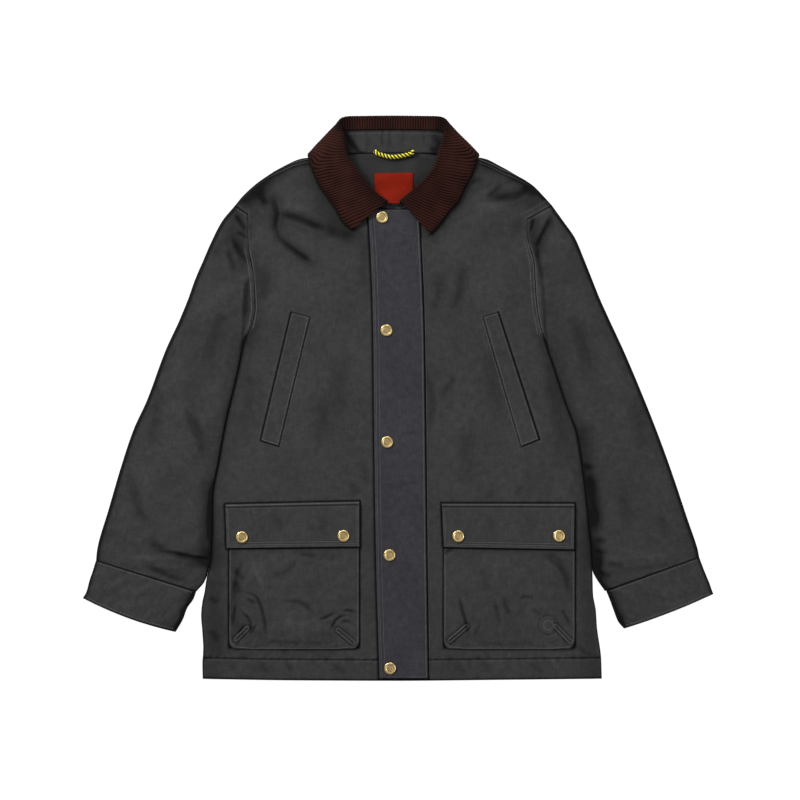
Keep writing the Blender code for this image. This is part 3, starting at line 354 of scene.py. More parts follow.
# Broad soft shades where the cloth turns away from the light, leans on what lies over it or
# is bunched: how dark, half width, and x and y along each.
SHADES = dict(
    right_front=(
        (0.72, 13, (-232, 304), (-190, 336), (-140, 359)),
        (0.40, 20, (-228, 294), (-204, 318)),
        (0.24, 13, (-226, 268), (-170, 270), (-104, 262)),
        (0.22, 12, (-218, 300), (-196, 292)),
        (0.22, 9, (-180, 306), (-181, 250), (-164, 232), (-140, 214)),
        (0.20, 9, (-122, 258), (-104, 252)),
        (0.26, 13, (-266, -228), (-268, -300), (-268, -372)),
        (0.18, 11, (-174, 246), (-126, 196)),
        (0.30, 16, (-118, 292), (-84, 250), (-48, 236)),
        (0.36, 16, (-222, 206), (-213, 150), (-222, 84)),
        (0.30, 16, (-286, -190), (-281, -420)),
    ),
    left_front=(
        (0.70, 9, (132, 353), (176, 335), (216, 304)),
        (0.20, 14, (186, 308), (214, 288)),
        (0.26, 11, (152, 299), (176, 298), (200, 290)),
        (0.14, 14, (196, 250), (204, 160), (222, 60)),
        (0.30, 15, (284, -196), (286, -330), (296, -420)),
    ),
    right_sleeve=(
        (0.38, 15, (-262, 222), (-256, 246), (-238, 274)),
        (0.30, 11, (-243, 246), (-234, 214), (-228, 196)),
        (0.10, 12, (-244, 176), (-252, 90)),
        (0.85, 6, (-276, -140), (-279, -170), (-280, -206)),
        (0.45, 12, (-284, -130), (-288, -190), (-292, -240)),
        (0.40, 9, (-326, -238), (-304, -245), (-284, -246)),
        (0.16, 13, (-309, 118), (-312, -32)),
        (0.24, 10, (-365, -227), (-290, -231)),
        (0.26, 7, (-222, 176), (-221, 120), (-228, 60)),
    ),
    left_sleeve=(
        (0.55, 9, (202, 268), (203, 234)),
        (0.42, 8, (228, 262), (214, 238), (207, 218)),
        (0.14, 13, (226, 190), (240, 60), (262, -60)),
        (0.42, 14, (278, -50), (284, -110), (286, -124)),
        (0.35, 13, (288, -126), (291, -152), (293, -180)),
        (0.34, 12, (292, -180), (296, -250)),
        (0.35, 8, (296, -214), (299, -244)),
        (0.85, 9, (298, -240), (303, -274), (314, -290)),
    ),
    right_pocket=((0.28, 13, (-250, -235), (-247, -300), (-246, -344)),),
    right_cuff=(
        (1.10, 10, (-303, -289), (-310, -304), (-318, -318)),
        (0.90, 6, (-320, -324), (-334, -348)),
        (0.35, 9, (-330, -338), (-352, -344)),
    ),
    left_cuff=((1.10, 11, (312, -288), (322, -314), (328, -330)), (0.80, 7, (330, -332), (340, -346))),
    storm_flap=((0.34, 12, (47, 244), (40, 262)), (0.30, 10, (-62, 238), (-46, 262))),
    collar_stand=(
        (0.8, 4.5, (-81, 399), (-58, 369)),
        (0.4, 6.0, (-85, 384), (-78, 372)),
        (0.7, 5.0, (52, 374), (67, 369)),
        (0.4, 7.0, (54, 392), (64, 380)),
    ),
)
PALER_BELOW = 0.07         # the light falls a little more on the lower half

# Cut edges of the seams and rows of stitches, x and y of each line.
SHOULDER_SEAMS = dict(
    right=((-131, 357.5), (-157, 351.5), (-176, 343), (-198, 332.5), (-207, 327)),
    left=((118, 357.5), (138, 350), (158, 340.5), (176, 333), (197, 322)),
)
ARMHOLE_STRIPS = dict(
    right=((-225, 226), (-220, 203), (-217, 180), (-214.6, 150), (-214.8, 128), (-219, 106)),
    left=((195.5, 236), (200, 220), (204.4, 200), (205.6, 176), (207, 150), (211, 122), (216, 98)),
)
# Topstitching beside the armholes, distances in from the fronts' and sleeves' edges.
ARMHOLE_ROWS = dict(right=(1.8,), left=(1.6, 6.6))
SLEEVE_ROWS = dict(right=5.6, left=1.8)
OPENING_Y = -262.0             # the sleeves stand clear of the body below this
HEAD_FULL = (220.0, 272.0)     # the sleeves' heads are full between these heights
# Where a sleeve lies against the body: how dark the painted shade line is, and how wide.
GAP_LINE = dict(right=1.2, left=0.15)
GAP_WIDTH = dict(right=8.0, left=5.0)
STITCH_PITCH = 3.4
STITCH = dict(length=2.7, width=0.75, height=0.5)
COLOURS = dict(
    # base colour of each material, linear
    waxed_cotton=(0.0264, 0.0261, 0.0260),
    placket_cotton=(0.0254, 0.0248, 0.0292),
    corduroy=(0.0150, 0.0043, 0.0030),
    lining=(0.0185, 0.0185, 0.0187),
    label_cloth=(0.150, 0.0075, 0.0015),
    yellow_yarn=(0.62, 0.55, 0.02),
    black_yarn=(0.012, 0.012, 0.012),
    thread=(0.085, 0.085, 0.085),
    dark_thread=(0.010, 0.010, 0.010),
    snap_brass=(0.74, 0.55, 0.25),
)
WALE_PITCH = 3.9
WALE_HEIGHT = 0.7


# ---------------------------------------------------------------- curves and fields
def curve(rows):
    """A smooth curve through (t, value) rows that never overshoots them."""
    t, value = np.array(sorted(rows), float).T
    step, rise = np.diff(t), np.diff(value)
    slope = rise / step
    tangent = np.concatenate(([slope[0]], np.zeros(len(t) - 2), [slope[-1]]))
    for k in range(1, len(t) - 1):
        if slope[k - 1] * slope[k] > 0:
            w1, w2 = 2 * step[k] + step[k - 1], step[k] + 2 * step[k - 1]
            tangent[k] = (w1 + w2) / (w1 / slope[k - 1] + w2 / slope[k])

    def at(x):
        x = np.clip(x, t[0], t[-1])
        k = np.clip(np.searchsorted(t, x, "right") - 1, 0, len(t) - 2)
        s = (x - t[k]) / step[k]
        return ((2 * s**3 - 3 * s**2 + 1) * value[k] + (s**3 - 2 * s**2 + s) * step[k] * tangent[k]
                + (3 * s**2 - 2 * s**3) * value[k + 1] + (s**3 - s**2) * step[k] * tangent[k + 1])
    return at


def ease(x):
    """0 below 0, 1 above 1, smooth between."""
    x = np.clip(x, 0.0, 1.0)
    return x * x * (3 - 2 * x)


def mix(a, b, share):
    """From a, where the share is 0, to b, where it is 1."""
    return a + (b - a) * share


def quarter(distance, radius):
    """Share of a rounded edge's height at a distance in from the edge."""
    reach = np.clip(distance / radius, 0.0, 1.0)
    return np.sqrt(1 - (1 - reach) ** 2)


def line_at(distance, width):
    """A soft line: 1 where the distance is 0, 0 from a width away."""
    return ease(1 - abs(distance) / width)


def edge_shade(distance, reach):
    """1 at an edge, falling evenly to 0 at a distance from it."""
    return np.clip(1 - abs(distance) / reach, 0, 1)


def soft(distance, reach):
    """1 where the distance is 0, fading out a little beyond a reach."""
    return np.exp(-(distance / reach) ** 2)


def points_at(x, y, z):
    """Points or vectors from grids of x, y and z, or numbers that are the same for all."""
    return np.stack(np.broadcast_arrays(x, y, z), axis=-1)


def unit(v):
    """Vectors of the same directions, 1 long."""
    return v / np.linalg.norm(v, axis=-1, keepdims=True)


def segment_fold(x, y, x1, y1, x2, y2, half_width):
    """1 on the line of a fold, falling to 0 at its half width and towards its ends."""
    length = np.hypot(x2 - x1, y2 - y1)
    along = ((x - x1) * (x2 - x1) + (y - y1) * (y2 - y1)) / length**2
    aside = ((x - x1) * (y2 - y1) - (y - y1) * (x2 - x1)) / length
    taper = ease((along + 0.25) / 0.4) * ease((1.25 - along) / 0.4)
    return taper * np.where(abs(aside) < half_width, np.cos(0.5 * np.pi * aside / half_width) ** 2, 0)


def lengths_along(line):
    """How far each point of a line is from its first, along it."""
    return np.concatenate(([0], np.cumsum(np.linalg.norm(np.diff(line, axis=0), axis=1))))


def smooth_line(points, step):
    """Points about every step mm along a smooth curve through the given ones."""
    p = np.array(points, float)
    ends = np.vstack((2 * p[0] - p[1], p, 2 * p[-1] - p[-2]))
    t = np.linspace(0, 1, 12, endpoint=False)[:, None]
    runs = [0.5 * (2 * b + (c - a) * t + (2 * a - 5 * b + 4 * c - d) * t**2
                   + (3 * b - a - 3 * c + d) * t**3)
            for a, b, c, d in zip(ends, ends[1:], ends[2:], ends[3:])]
    dense = np.vstack(runs + [p[-1:]])
    gone = lengths_along(dense)
    at = np.linspace(0, gone[-1], max(int(round(gone[-1] / step)), 1) + 1)
    return np.stack([np.interp(at, gone, column) for column in dense.T], axis=1)


LINE_STEP = 6.0            # between the points of a line that distances are measured to
FAR = 1e9                  # further off than anything


def line_distance(x, y, points):
    """Distance to a smooth line through points."""
    line = smooth_line(points, LINE_STEP)
    best = np.full(x.shape, FAR)
    for a, b in zip(line, line[1:]):
        run = b - a
        t = np.clip(((x - a[0]) * run[0] + (y - a[1]) * run[1]) / (run @ run), 0, 1)
        best = np.minimum(best, np.hypot(x - a[0] - t * run[0], y - a[1] - t * run[1]))
    return best


CREASE_STEP = 5.0          # between the points of a crease's line
CREASE_TONE = 0.56         # painted shade in a shallow trough for each mm of its depth
RIDGE_TONE = 0.25          # painted highlight on a ridge, the same way
# The darkest painted shade that creases give.
DARKEST_CREASE = 0.85
SHOULDER_REACH = 2.2       # a trough's raised shoulders end at this many half widths
SHOULDER_RISE = 0.22       # their height, as a share of the trough's depth
FADE_SHARE = 0.35          # share of a crease's length over which each end fades


def crease(x, y, half_width, skew, points):
    """A trough's shape: -1 on its line, raised a little on both sides, 0 further off.

    Also its shade, which is softer: 1 on the line.
    """
    line = smooth_line(points, CREASE_STEP)
    reach = half_width * (1 + abs(skew)) * SHOULDER_REACH
    low, high = line.min(0) - reach, line.max(0) + reach
    near = (x > low[0]) & (x < high[0]) & (y > low[1]) & (y < high[1])
    spots = np.stack((x[near], y[near]), axis=1)
    best = np.full(len(spots), FAR)
    side, along = np.zeros(len(spots)), np.zeros(len(spots))
    for k, (a, b) in enumerate(zip(line, line[1:])):
        run = b - a
        t = np.clip((spots - a) @ run / (run @ run), 0, 1)
        off = spots - a - t[:, None] * run
        distance = np.hypot(off[:, 0], off[:, 1])
        closer = distance < best
        best = np.where(closer, distance, best)
        side = np.where(closer, np.sign(run[0] * off[:, 1] - run[1] * off[:, 0]), side)
        along = np.where(closer, (k + t) / (len(line) - 1), along)
    r = best / (half_width * (1 + skew * side))
    dip = np.where(r < 1, -np.cos(0.5 * np.pi * np.minimum(r, 1)) ** 2, 0)
    rise = np.where((r > 1) & (r < SHOULDER_REACH),
                    SHOULDER_RISE * np.sin(np.pi * (r - 1) / (SHOULDER_REACH - 1)) ** 2, 0)
    fade = ease(along / FADE_SHARE) * ease((1 - along) / FADE_SHARE)
    total, shade = np.zeros_like(x), np.zeros_like(x)
    total[near] = (dip + rise) * fade
    shade[near] = np.exp(-(1.3 * r) ** 2) * fade
    return total, shade


def creases(x, y, table):
    """Height that a table of creases adds, and the painted shade in their troughs and painted highlight on
    their ridges.
    """
    height, tone = np.zeros_like(x), np.zeros_like(x)
    for depth, half_width, skew, *points in table:
        shape, shade = crease(x, y, half_width, skew, points)
        height += depth * shape
        tone -= (CREASE_TONE if depth > 0 else RIDGE_TONE) * depth * shade
    dark = np.maximum(-tone, 0)
    return height, np.where(tone < 0, -DARKEST_CREASE * (1 - np.exp(-dark / DARKEST_CREASE)), tone)


def shades(x, y, piece):
    """How much a piece's broad shades darken it, and how much its place in the light pales it."""
    tone = PALER_BELOW * ease((110 - y) / 220) + 0 * x
    for dark, half_width, *points in SHADES.get(piece, ()):
        tone -= dark * soft(line_distance(x, y, points), half_width)
    return tone


WAVES = 12                 # waves that make up each unevenness


def ripples(x, y, seed, size, height):
    """Soft unevenness: waves of about one size in all directions."""
    draw = np.random.default_rng(seed)
    total = np.zeros_like(x)
    for _ in range(WAVES):
        turn, phase = draw.uniform(0, 2 * np.pi, 2)
        wave = 2 * np.pi / (size * draw.uniform(0.6, 1.7))
        total += np.sin(wave * (x * np.cos(turn) + y * np.sin(turn)) + phase)
    return height * total / math.sqrt(WAVES / 2)


def cloth_unevenness(x, y, seed):
    """The soft hollows, dents and grain of cloth that lies loose."""
    return (ripples(x, y, seed, 95, 0.28) + ripples(x, y, seed + 1, 34, 0.10)
            + ripples(x, y, seed + 2, 11, 0.025))


# ---------------------------------------------------------------- making meshes
def added(name, data):
    """An object of its own in the scene."""
    made = bpy.data.objects.new(name, data)
    bpy.context.scene.collection.objects.link(made)
    return made


def mesh_object(name, points, faces, finish, fields=None):
    """An object from points in mm and faces of 3 or 4 corners, facing out."""
    points = np.array(points, float)
    points[:, 2] = np.maximum(points[:, 2], 0.0)
    mesh = bpy.data.meshes.new(name)
    mesh.vertices.add(len(points))
    mesh.vertices.foreach_set("co", (points * MM).astype(np.float32).ravel())
    sizes, corners = np.array([len(f) for f in faces]), np.concatenate(faces)
    mesh.loops.add(int(sizes.sum()))
    mesh.loops.foreach_set("vertex_index", corners.astype(np.int32))
    mesh.polygons.add(len(sizes))
    mesh.polygons.foreach_set("loop_start", (np.cumsum(sizes) - sizes).astype(np.int32))
    mesh.polygons.foreach_set("loop_total", sizes.astype(np.int32))
    mesh.update(calc_edges=True)
    mesh.validate()
    mesh.shade_smooth()
    for field, values in (fields or {}).items():
        values = np.asarray(values, np.float32)
        kind, key = ("FLOAT", "value") if values.ndim == 1 else ("FLOAT_VECTOR", "vector")
        mesh.attributes.new(field, kind, "POINT").data.foreach_set(key, values.ravel())
    mesh.materials.append(finish)
    return added(name, mesh)


def zip_rims(dense, coarse, kept):
    """Triangles between a dense row of points and a coarse one that keeps some of them."""
    faces = []
    for (k0, k1), (c0, c1) in zip(zip(kept, kept[1:]), zip(coarse, coarse[1:])):
        half = (k0 + k1 + 1) // 2
        faces += [(dense[i], dense[i + 1], c0) for i in range(k0, half)]
        faces += [(dense[i], dense[i + 1], c1) for i in range(half, k1)]
        faces.append((dense[half], c1, c0))
    return faces


def thinned(count, every):
    """Places of the rows that a coarser grid keeps, with the last."""
    return sorted(set(range(0, count, every)) | {count - 1})


def quads(grid):
    """The faces of a grid of point numbers."""
    return np.stack((grid[:-1, :-1], grid[:-1, 1:], grid[1:, 1:], grid[1:, :-1]), axis=-1).reshape(-1, 4)


def signed_volume(points, *face_sets):
    """Volume inside four-cornered faces, below 0 where they face in."""
    total = 0.0
    for faces in face_sets:
        a, b, c, d = (points[faces[:, k]] for k in range(4))
        total += (a * np.cross(b, c)).sum() + (a * np.cross(c, d)).sum()
    return total / 6


def shell(name, outer, inner, finish, every=4, **fields):
    """A closed thin wall: a fine outer grid and a coarser inner one, joined round their rims.

    Each field is a grid of numbers or vectors on the outer grid's points.
    """
    rows, columns = outer.shape[:2]
    keep_rows, keep_columns = thinned(rows, every), thinned(columns, every)
    coarse = inner[np.ix_(keep_rows, keep_columns)]
    index = np.arange(rows * columns).reshape(rows, columns)
    under = index.size + np.arange(len(keep_rows) * len(keep_columns)).reshape(coarse.shape[:2])
    rim = zip_rims(index[0][::-1], under[0][::-1], [columns - 1 - k for k in reversed(keep_columns)])
    rim += zip_rims(index[-1], under[-1], keep_columns)
    rim += zip_rims(index[:, 0], under[:, 0], keep_rows)
    rim += zip_rims(index[::-1, -1], under[::-1, -1], [rows - 1 - k for k in reversed(keep_rows)])
    top, low = quads(index), quads(under)[:, ::-1]
    points = np.concatenate((outer.reshape(-1, 3), coarse.reshape(-1, 3)))
    if signed_volume(points, top, low) < 0:
        top, low, rim = top[:, ::-1], low[:, ::-1], [f[::-1] for f in rim]
    values = {}
    for field, grid in fields.items():
        flat = grid.reshape(rows * columns, -1)
        few = grid[np.ix_(keep_rows, keep_columns)].reshape(-1, flat.shape[1])
        values[field] = np.concatenate((flat, few)).squeeze()
    return mesh_object(name, points, list(top) + list(low) + rim, finish, values)


def laid_shell(name, x, y, top, low, finish, tone, every=4):
    """A shell over a grid of places, with its threads along x and y."""
    return shell(name, points_at(x, y, top), points_at(x, y, low), finish, every=every, tone=tone,
                 cloth=points_at(x, y, 0) * MM)


def ring_wall(name, outer, inner, finish, **fields):
    """A wall round a tube: grids whose columns run on from the last to the first."""
    index = np.arange(outer[..., 0].size).reshape(outer.shape[:2])
    around = np.concatenate((index, index[:, :1]), axis=1)
    out, low = quads(around), quads(around + index.size)[:, ::-1]
    ends = []
    for row, turn in ((around[0], 1), (around[-1], -1)):
        under = row + index.size
        ends.append(np.stack((row[:-1], under[:-1], under[1:], row[1:]), axis=-1)[:, ::turn])
    faces = np.concatenate([out, low] + ends)
    points = np.concatenate((outer.reshape(-1, 3), inner.reshape(-1, 3)))
    if signed_volume(points, faces) < 0:
        faces = faces[:, ::-1]
    values = {k: np.concatenate((g.reshape(index.size, -1),) * 2).squeeze() for k, g in fields.items()}
    return mesh_object(name, points, faces, finish, values)


# ---------------------------------------------------------------- materials
def material(name, roughness, specular, metallic=0.0, sheen=0.0):
    """A plain material in its colour, with its node tree and shader."""
    made = bpy.data.materials.new(name)
    made.use_nodes = True
    shader = made.node_tree.nodes["Principled BSDF"]
    shader.inputs["Base Color"].default_value = (*COLOURS[name], 1)
    shader.inputs["Roughness"].default_value = roughness
    shader.inputs["Metallic"].default_value = metallic
    shader.inputs["Specular IOR Level"].default_value = specular
    shader.inputs["Sheen Weight"].default_value = sheen
    shader.inputs["Sheen Roughness"].default_value = 0.5
    return made, made.node_tree, shader


def node(tree, kind, **settings):
    """A node whose inputs or properties are set by name."""
    made = tree.nodes.new(kind)
    for key, value in settings.items():
        if key in made.inputs:
            made.inputs[key].default_value = value
        else:
            setattr(made, key, value)
    return made


def maths(tree, operation, *values):
    """The result of an operation on numbers and sockets."""
    made = tree.nodes.new("ShaderNodeMath")
    made.operation = operation
    for socket, value in zip(made.inputs, values):
        if isinstance(value, (int, float)):
            socket.default_value = value
        else:
            tree.links.new(value, socket)
    return made.outputs[0]


def product(tree, first, *others):
    """All of the values multiplied together."""
    for other in others:
        first = maths(tree, "MULTIPLY", first, other)
    return first


def scaled(tree, vector, x, y):
    """A place whose pattern is stretched along the directions of small scale."""
    made = node(tree, "ShaderNodeMapping")
    made.inputs["Scale"].default_value = (x, y, 1.0)
    tree.links.new(vector, made.inputs["Vector"])
    return made.outputs["Vector"]


def noise(tree, vector, scale, detail, roughness):
    """A cloudy pattern from 0 to 1, with scale clouds to a metre."""
    made = node(tree, "ShaderNodeTexNoise", Scale=scale, Detail=detail, Roughness=roughness)
    tree.links.new(vector, made.inputs["Vector"])
    return made.outputs["Fac"]


def span(tree, value, low, high, to_low, to_high):
    """A value from one span moved to another."""
    made = node(tree, "ShaderNodeMapRange")
    for key, number in (("From Min", low), ("From Max", high), ("To Min", to_low), ("To Max", to_high)):
        made.inputs[key].default_value = number
    tree.links.new(value, made.inputs["Value"])
    return made.outputs["Result"]


def spread(tree, fibres, amount):
    """A factor about 1 from a noise, which stays mostly within 0.3 to 0.7."""
    return span(tree, fibres, 0.3, 0.7, 1 - amount, 1 + amount)


def by_tone(tree, darkest):
    """The factor that the mesh's tone sets, which carries painted shade and painted highlight and some of
    the cloth's own mottling: 1 where the tone is 0.
    """
    return span(tree, attribute(tree, "tone"), -1.0, 1.0, darkest, 2 - darkest)


def threads(tree, place, pitch_x, pitch_y):
    """Height of a plain weave, from two sets of threads that pass over each other."""
    split = node(tree, "ShaderNodeSeparateXYZ")
    tree.links.new(place, split.inputs[0])
    waves = [maths(tree, "SINE", product(tree, split.outputs[axis], 2 * math.pi / (pitch * MM)))
             for axis, pitch in (("X", pitch_x), ("Y", pitch_y))]
    return product(tree, *waves)


def tint(tree, shader, colour, factor):
    """The base colour times a factor that changes over the cloth."""
    scale = node(tree, "ShaderNodeVectorMath", operation="SCALE")
    scale.inputs[0].default_value = colour
    tree.links.new(factor, scale.inputs["Scale"])
    tree.links.new(scale.outputs["Vector"], shader.inputs["Base Color"])


def bump(tree, shader, height, strength, distance):
    """Turns the surface by a height, as if it reached a distance in mm."""
    made = node(tree, "ShaderNodeBump", Strength=strength, Distance=distance * MM)
    tree.links.new(height, made.inputs["Height"])
    tree.links.new(made.outputs["Normal"], shader.inputs["Normal"])


def attribute(tree, name, output="Fac"):
    """A field of the mesh."""
    return node(tree, "ShaderNodeAttribute", attribute_name=name).outputs[output]


def waxed_cotton(name):
    """Dry waxed cotton: a fine weave, long faint slubs, cloudy wax, and the tone's painted shade in creases
    and along edges and seams, with painted highlights beside them.
    """
    roughness = 0.6
    made, tree, shader = material(name, roughness, specular=0.06)
    place = attribute(tree, "cloth", "Vector")
    clouds = noise(tree, scaled(tree, place, 1.0, 0.6), 16.0, 4.0, 0.6)
    slubs = noise(tree, scaled(tree, place, 1.0, 0.09), 620.0, 2.0, 0.6)
    flecks = noise(tree, scaled(tree, place, 0.25, 1.0), 420.0, 2.0, 0.7)
    rubbed = noise(tree, place, 95.0, 3.0, 0.65)
    tint(tree, shader, COLOURS[name], product(
        tree, spread(tree, clouds, 0.12), spread(tree, slubs, 0.13), spread(tree, flecks, 0.10),
        spread(tree, rubbed, 0.16), by_tone(tree, 0.12)))
    tree.links.new(span(tree, clouds, 0.3, 0.7, roughness - 0.08, roughness + 0.1),
                   shader.inputs["Roughness"])
    weave = maths(tree, "ADD", product(tree, threads(tree, place, 0.9, 0.75), 0.35), slubs)
    bump(tree, shader, weave, 0.35, 0.18)
    return made


def corduroy():
    """Brown corduroy: napped ribs, with painted shade in their valleys and painted highlight on their
    ridges.
    """
    made, tree, shader = material("corduroy", 0.85, specular=0.05, sheen=0.02)
    place = attribute(tree, "cloth", "Vector")
    wave = maths(tree, "COSINE", product(tree, attribute(tree, "wale"), 2 * math.pi))
    fibres = noise(tree, place, 900.0, 2.0, 0.7)
    patches = noise(tree, place, 22.0, 3.0, 0.6)
    ridge = span(tree, wave, -0.9, 0.9, 0.15, 1.70)
    # The nap hides the ribs a little in brushed patches, and where the painted tone is light it adds a
    # painted sheen.
    brushed_sheen = span(tree, attribute(tree, "tone"), -0.1, 0.35, 0.1, 0.50)
    brushed_sheen = product(tree, brushed_sheen, span(tree, patches, 0.38, 0.62, 0.1, 1.7))
    bare = maths(tree, "SUBTRACT", 1.0, brushed_sheen)
    ridge = maths(tree, "ADD", product(tree, ridge, bare), brushed_sheen)
    tint(tree, shader, COLOURS["corduroy"], product(
        tree, ridge, spread(tree, fibres, 0.2), span(tree, patches, 0.32, 0.68, 0.72, 1.22),
        by_tone(tree, 0.2)))
    bump(tree, shader, maths(tree, "ADD", product(tree, wave, 0.8), fibres), 0.5, 0.3)
    return made


def plain_cloth(name, pitch, roughness=0.8):
    """Plainly woven cloth, for the lining and the label."""
    made, tree, shader = material(name, roughness, specular=0.06)
    place = attribute(tree, "cloth", "Vector")
    clouds = noise(tree, place, 40.0, 3.0, 0.6)
    grain = noise(tree, scaled(tree, place, 1.0, 0.3), 900.0, 2.0, 0.6)
    tint(tree, shader, COLOURS[name], product(
        tree, spread(tree, clouds, 0.1), spread(tree, grain, 0.15), by_tone(tree, 0.25)))
    bump(tree, shader, threads(tree, place, pitch, pitch), 0.3, 0.12)
    return made


def yarn(name):
    """Twisted yarn: fine fibres round each strand."""
    made, tree, shader = material(name, 0.75, specular=0.2, sheen=0.1)
    place = node(tree, "ShaderNodeTexCoord").outputs["Object"]
    fibres = noise(tree, place, 1400.0, 3.0, 0.7)
    tint(tree, shader, COLOURS[name], spread(tree, fibres, 0.2))
    bump(tree, shader, fibres, 0.4, 0.15)
    return made


def brass():
    """Antique brass: brushed, darker in the ring and where it is tarnished."""
    made, tree, shader = material("snap_brass", 0.34, specular=0.5, metallic=1.0)
    place = node(tree, "ShaderNodeTexCoord").outputs["Object"]
    tarnish = noise(tree, place, 420.0, 4.0, 0.6)
    fine = noise(tree, scaled(tree, place, 1.0, 6.0), 1500.0, 2.0, 0.6)
    tint(tree, shader, COLOURS["snap_brass"], product(
        tree, span(tree, tarnish, 0.35, 0.7, 0.62, 1.12), by_tone(tree, 0.1)))
    tree.links.new(span(tree, tarnish, 0.3, 0.7, 0.46, 0.28), shader.inputs["Roughness"])
    bump(tree, shader, fine, 0.15, 0.05)
    return made


# ---------------------------------------------------------------- body panels
SHOULDER_FULLER = 0.9       # the cloth rolls out past the solids' edge at the shoulders
EDGE_STEPS = (0.0, 0.5, 1.2, 2.0, 2.8, 3.8, 4.8, 5.6, 6.4, 7.2, 8.4, 10.0, 12.0, 15.0, 18.0)
HEM_FOLD = 31.5            # the hem's row of stitches, up from the hem
HEM_STEPS = (0, 0.5, 1.3, 2.5, 4.5, 7, 10, 13, 16, 19, 22, 25, 27.5, 29.2, 30.3, 31, 31.5, 32, 32.7,
             34, 36, 38.5, 41.5, 45, 48.5, 52, 56, 60)
TOP_STEPS = (0, 0.5, 1.1, 1.8, 2.5, 3.2, 3.9, 4.6, 5.3, 6, 6.8, 7.8, 9.2, 11, 13.5, 16)
CENTRE_STEPS = (0.0, 1.0, 3.0)
FRONT_GRID = (112, 296)    # columns and rows between the fixed steps
BACK_GRID = (120, 170)
TOP_SLANT = 0.88           # distance square to the shoulder, for each mm straight down from it


def across(left, right, near_left, near_right, count):
    """Places from a left to a right edge: fixed distances near each, the rest shared out."""
    left, right = np.asarray(left, float)[..., None], np.asarray(right, float)[..., None]
    a, b = left + np.array(near_left), right - np.array(near_right)[::-1]
    share = np.linspace(0, 1, count + 2)[1:-1]
    middle = mix(a[..., -1:], b[..., :1], share)
    return np.concatenate((a, middle, b), axis=-1)


def body_grid(left_edge, right_edge, top_edge, near_left, near_right, count, row_count):
    """x, y and level of a body panel's grid, and its distances to the side and top edges."""
    hem_steps, top_steps = np.array(HEM_STEPS), np.array(TOP_STEPS)[::-1]
    between = np.linspace(HEM_Y + hem_steps[-1], TIP_Y - top_steps[0], row_count + 2)[1:-1]
    levels = np.concatenate((HEM_Y + hem_steps, between, TIP_Y - top_steps))
    left_x, right_x = left_edge(levels), right_edge(levels)
    x = across(left_x, right_x, near_left, near_right, count)
    hem_y = curve(HEM)(x[0])
    from_neck = abs(x[-1] - NECK_X)
    top_y = top_edge(x[-1]) + SHOULDER_FULLER * ease((from_neck - 118) / 20) * ease((194 - from_neck) / 30)
    first, last = levels[len(hem_steps) - 1], levels[-len(top_steps)]
    share = (levels - first) / (last - first)
    y = mix(hem_y + hem_steps[-1], top_y - top_steps[0], share[:, None])
    y[:len(hem_steps)] = hem_y + hem_steps[:, None]
    y[-len(top_steps):] = top_y - top_steps[:, None]
    level = np.repeat(levels[:, None], x.shape[1], axis=1)
    return x, y, level, x - left_x[:, None], right_x[:, None] - x, (top_y - y) * TOP_SLANT


def neck_lift(x, y):
    """How far the back rides up over the fall that is folded under it."""
    across_neck = 1 - ease((abs(x - NECK_X) - 122) / 45)
    return NECK_LIFT * ease((y - 308) / 34) * across_neck


def front_underside(x, y, from_side, from_top):
    """Height of a front's underside, given its distances from the folded edges."""
    side_fold = 1 - ease((y - 70) / 40)
    open_side = mix(1.0, ease(from_side / ROLL), side_fold)
    under_collar = ease((abs(x - NECK_X) - 108) / 14)
    open_top = mix(1.0, ease(from_top / ROLL), under_collar)
    lift = neck_lift(x, y)
    by_neck = (1 - ease((abs(x - NECK_X) - 155) / 40)) * ease((y - 285) / 15)
    closed = SEAM + NECK_SLACK * by_neck
    hollow = closed + (HOLLOW + NECK_HOLLOW * lift / NECK_LIFT - closed) * open_side * open_top
    folds = sum(height * segment_fold(x, y, *line, half) for *line, half, height in FRONT_FOLDS)
    hollow = hollow + folds * open_side * open_top
    return WALL + lift + np.clip(hollow, closed, MOST_HOLLOW)


def below_arm(level):
    """1 where a side edge is folded, 0 above the underarm."""
    return 1 - ease((level - UNDERARM[0]) / (UNDERARM[1] - UNDERARM[0]))


def by_body(level):
    """1 where a sleeve lies against the body, 0 where it stands clear of it."""
    return ease((level - OPENING_Y) / 12)


def head_shown(level):
    """How much an armhole's rows show: less where the sleeve's head is full."""
    return 1 - 0.75 * ease((level - HEAD_FULL[0]) / 12) * ease((HEAD_FULL[1] - level) / 8)


def edge_fullness(x, level, from_side, from_top):
    """Share of the wall's thickness left beside the folded side and shoulder edges."""
    on_shoulder = ease((abs(x - NECK_X) - 100) / 10)
    at_side = mix(1.0, quarter(from_side, WALL), below_arm(level))
    return at_side * mix(1.0, quarter(from_top, WALL), on_shoulder)


def outside(x, y, corners):
    """Distance out from a four-cornered outline, below 0 inside. Corners run clockwise."""
    most = np.full(x.shape, -FAR)
    for (ax, ay), (bx, by) in zip(corners, corners[1:] + corners[:1]):
        run = math.hypot(bx - ax, by - ay)
        most = np.maximum(most, ((y - ay) * (bx - ax) - (x - ax) * (by - ay)) / run)
    return most


def gap_to_welt(x, y, corners, opening):
    """Distance out from a welt, and from its open side."""
    a, b, c, d = corners
    return outside(x, y, corners), line_distance(x, y, (a, d) if opening == "left" else (b, c))


def pocket_corners(left, right, top, bottom, **_):
    """A patch pocket's outline, as if its lower corners were square."""
    return ((left, top), (right, top), (right, bottom), (left, bottom))


def storm_edges():
    """The storm flap's left and right edges: x at each y."""
    return curve([(y, a) for y, a, b in STORM_FLAP]), curve([(y, b) for y, a, b in STORM_FLAP])


def collar_gap(x, y):
    """Distance to the free edges of the collar's two leaves."""
    edge = [row[6:8] for row in COLLAR]
    return np.minimum(line_distance(x, y, edge[:9]), line_distance(x, y, edge[18:]))


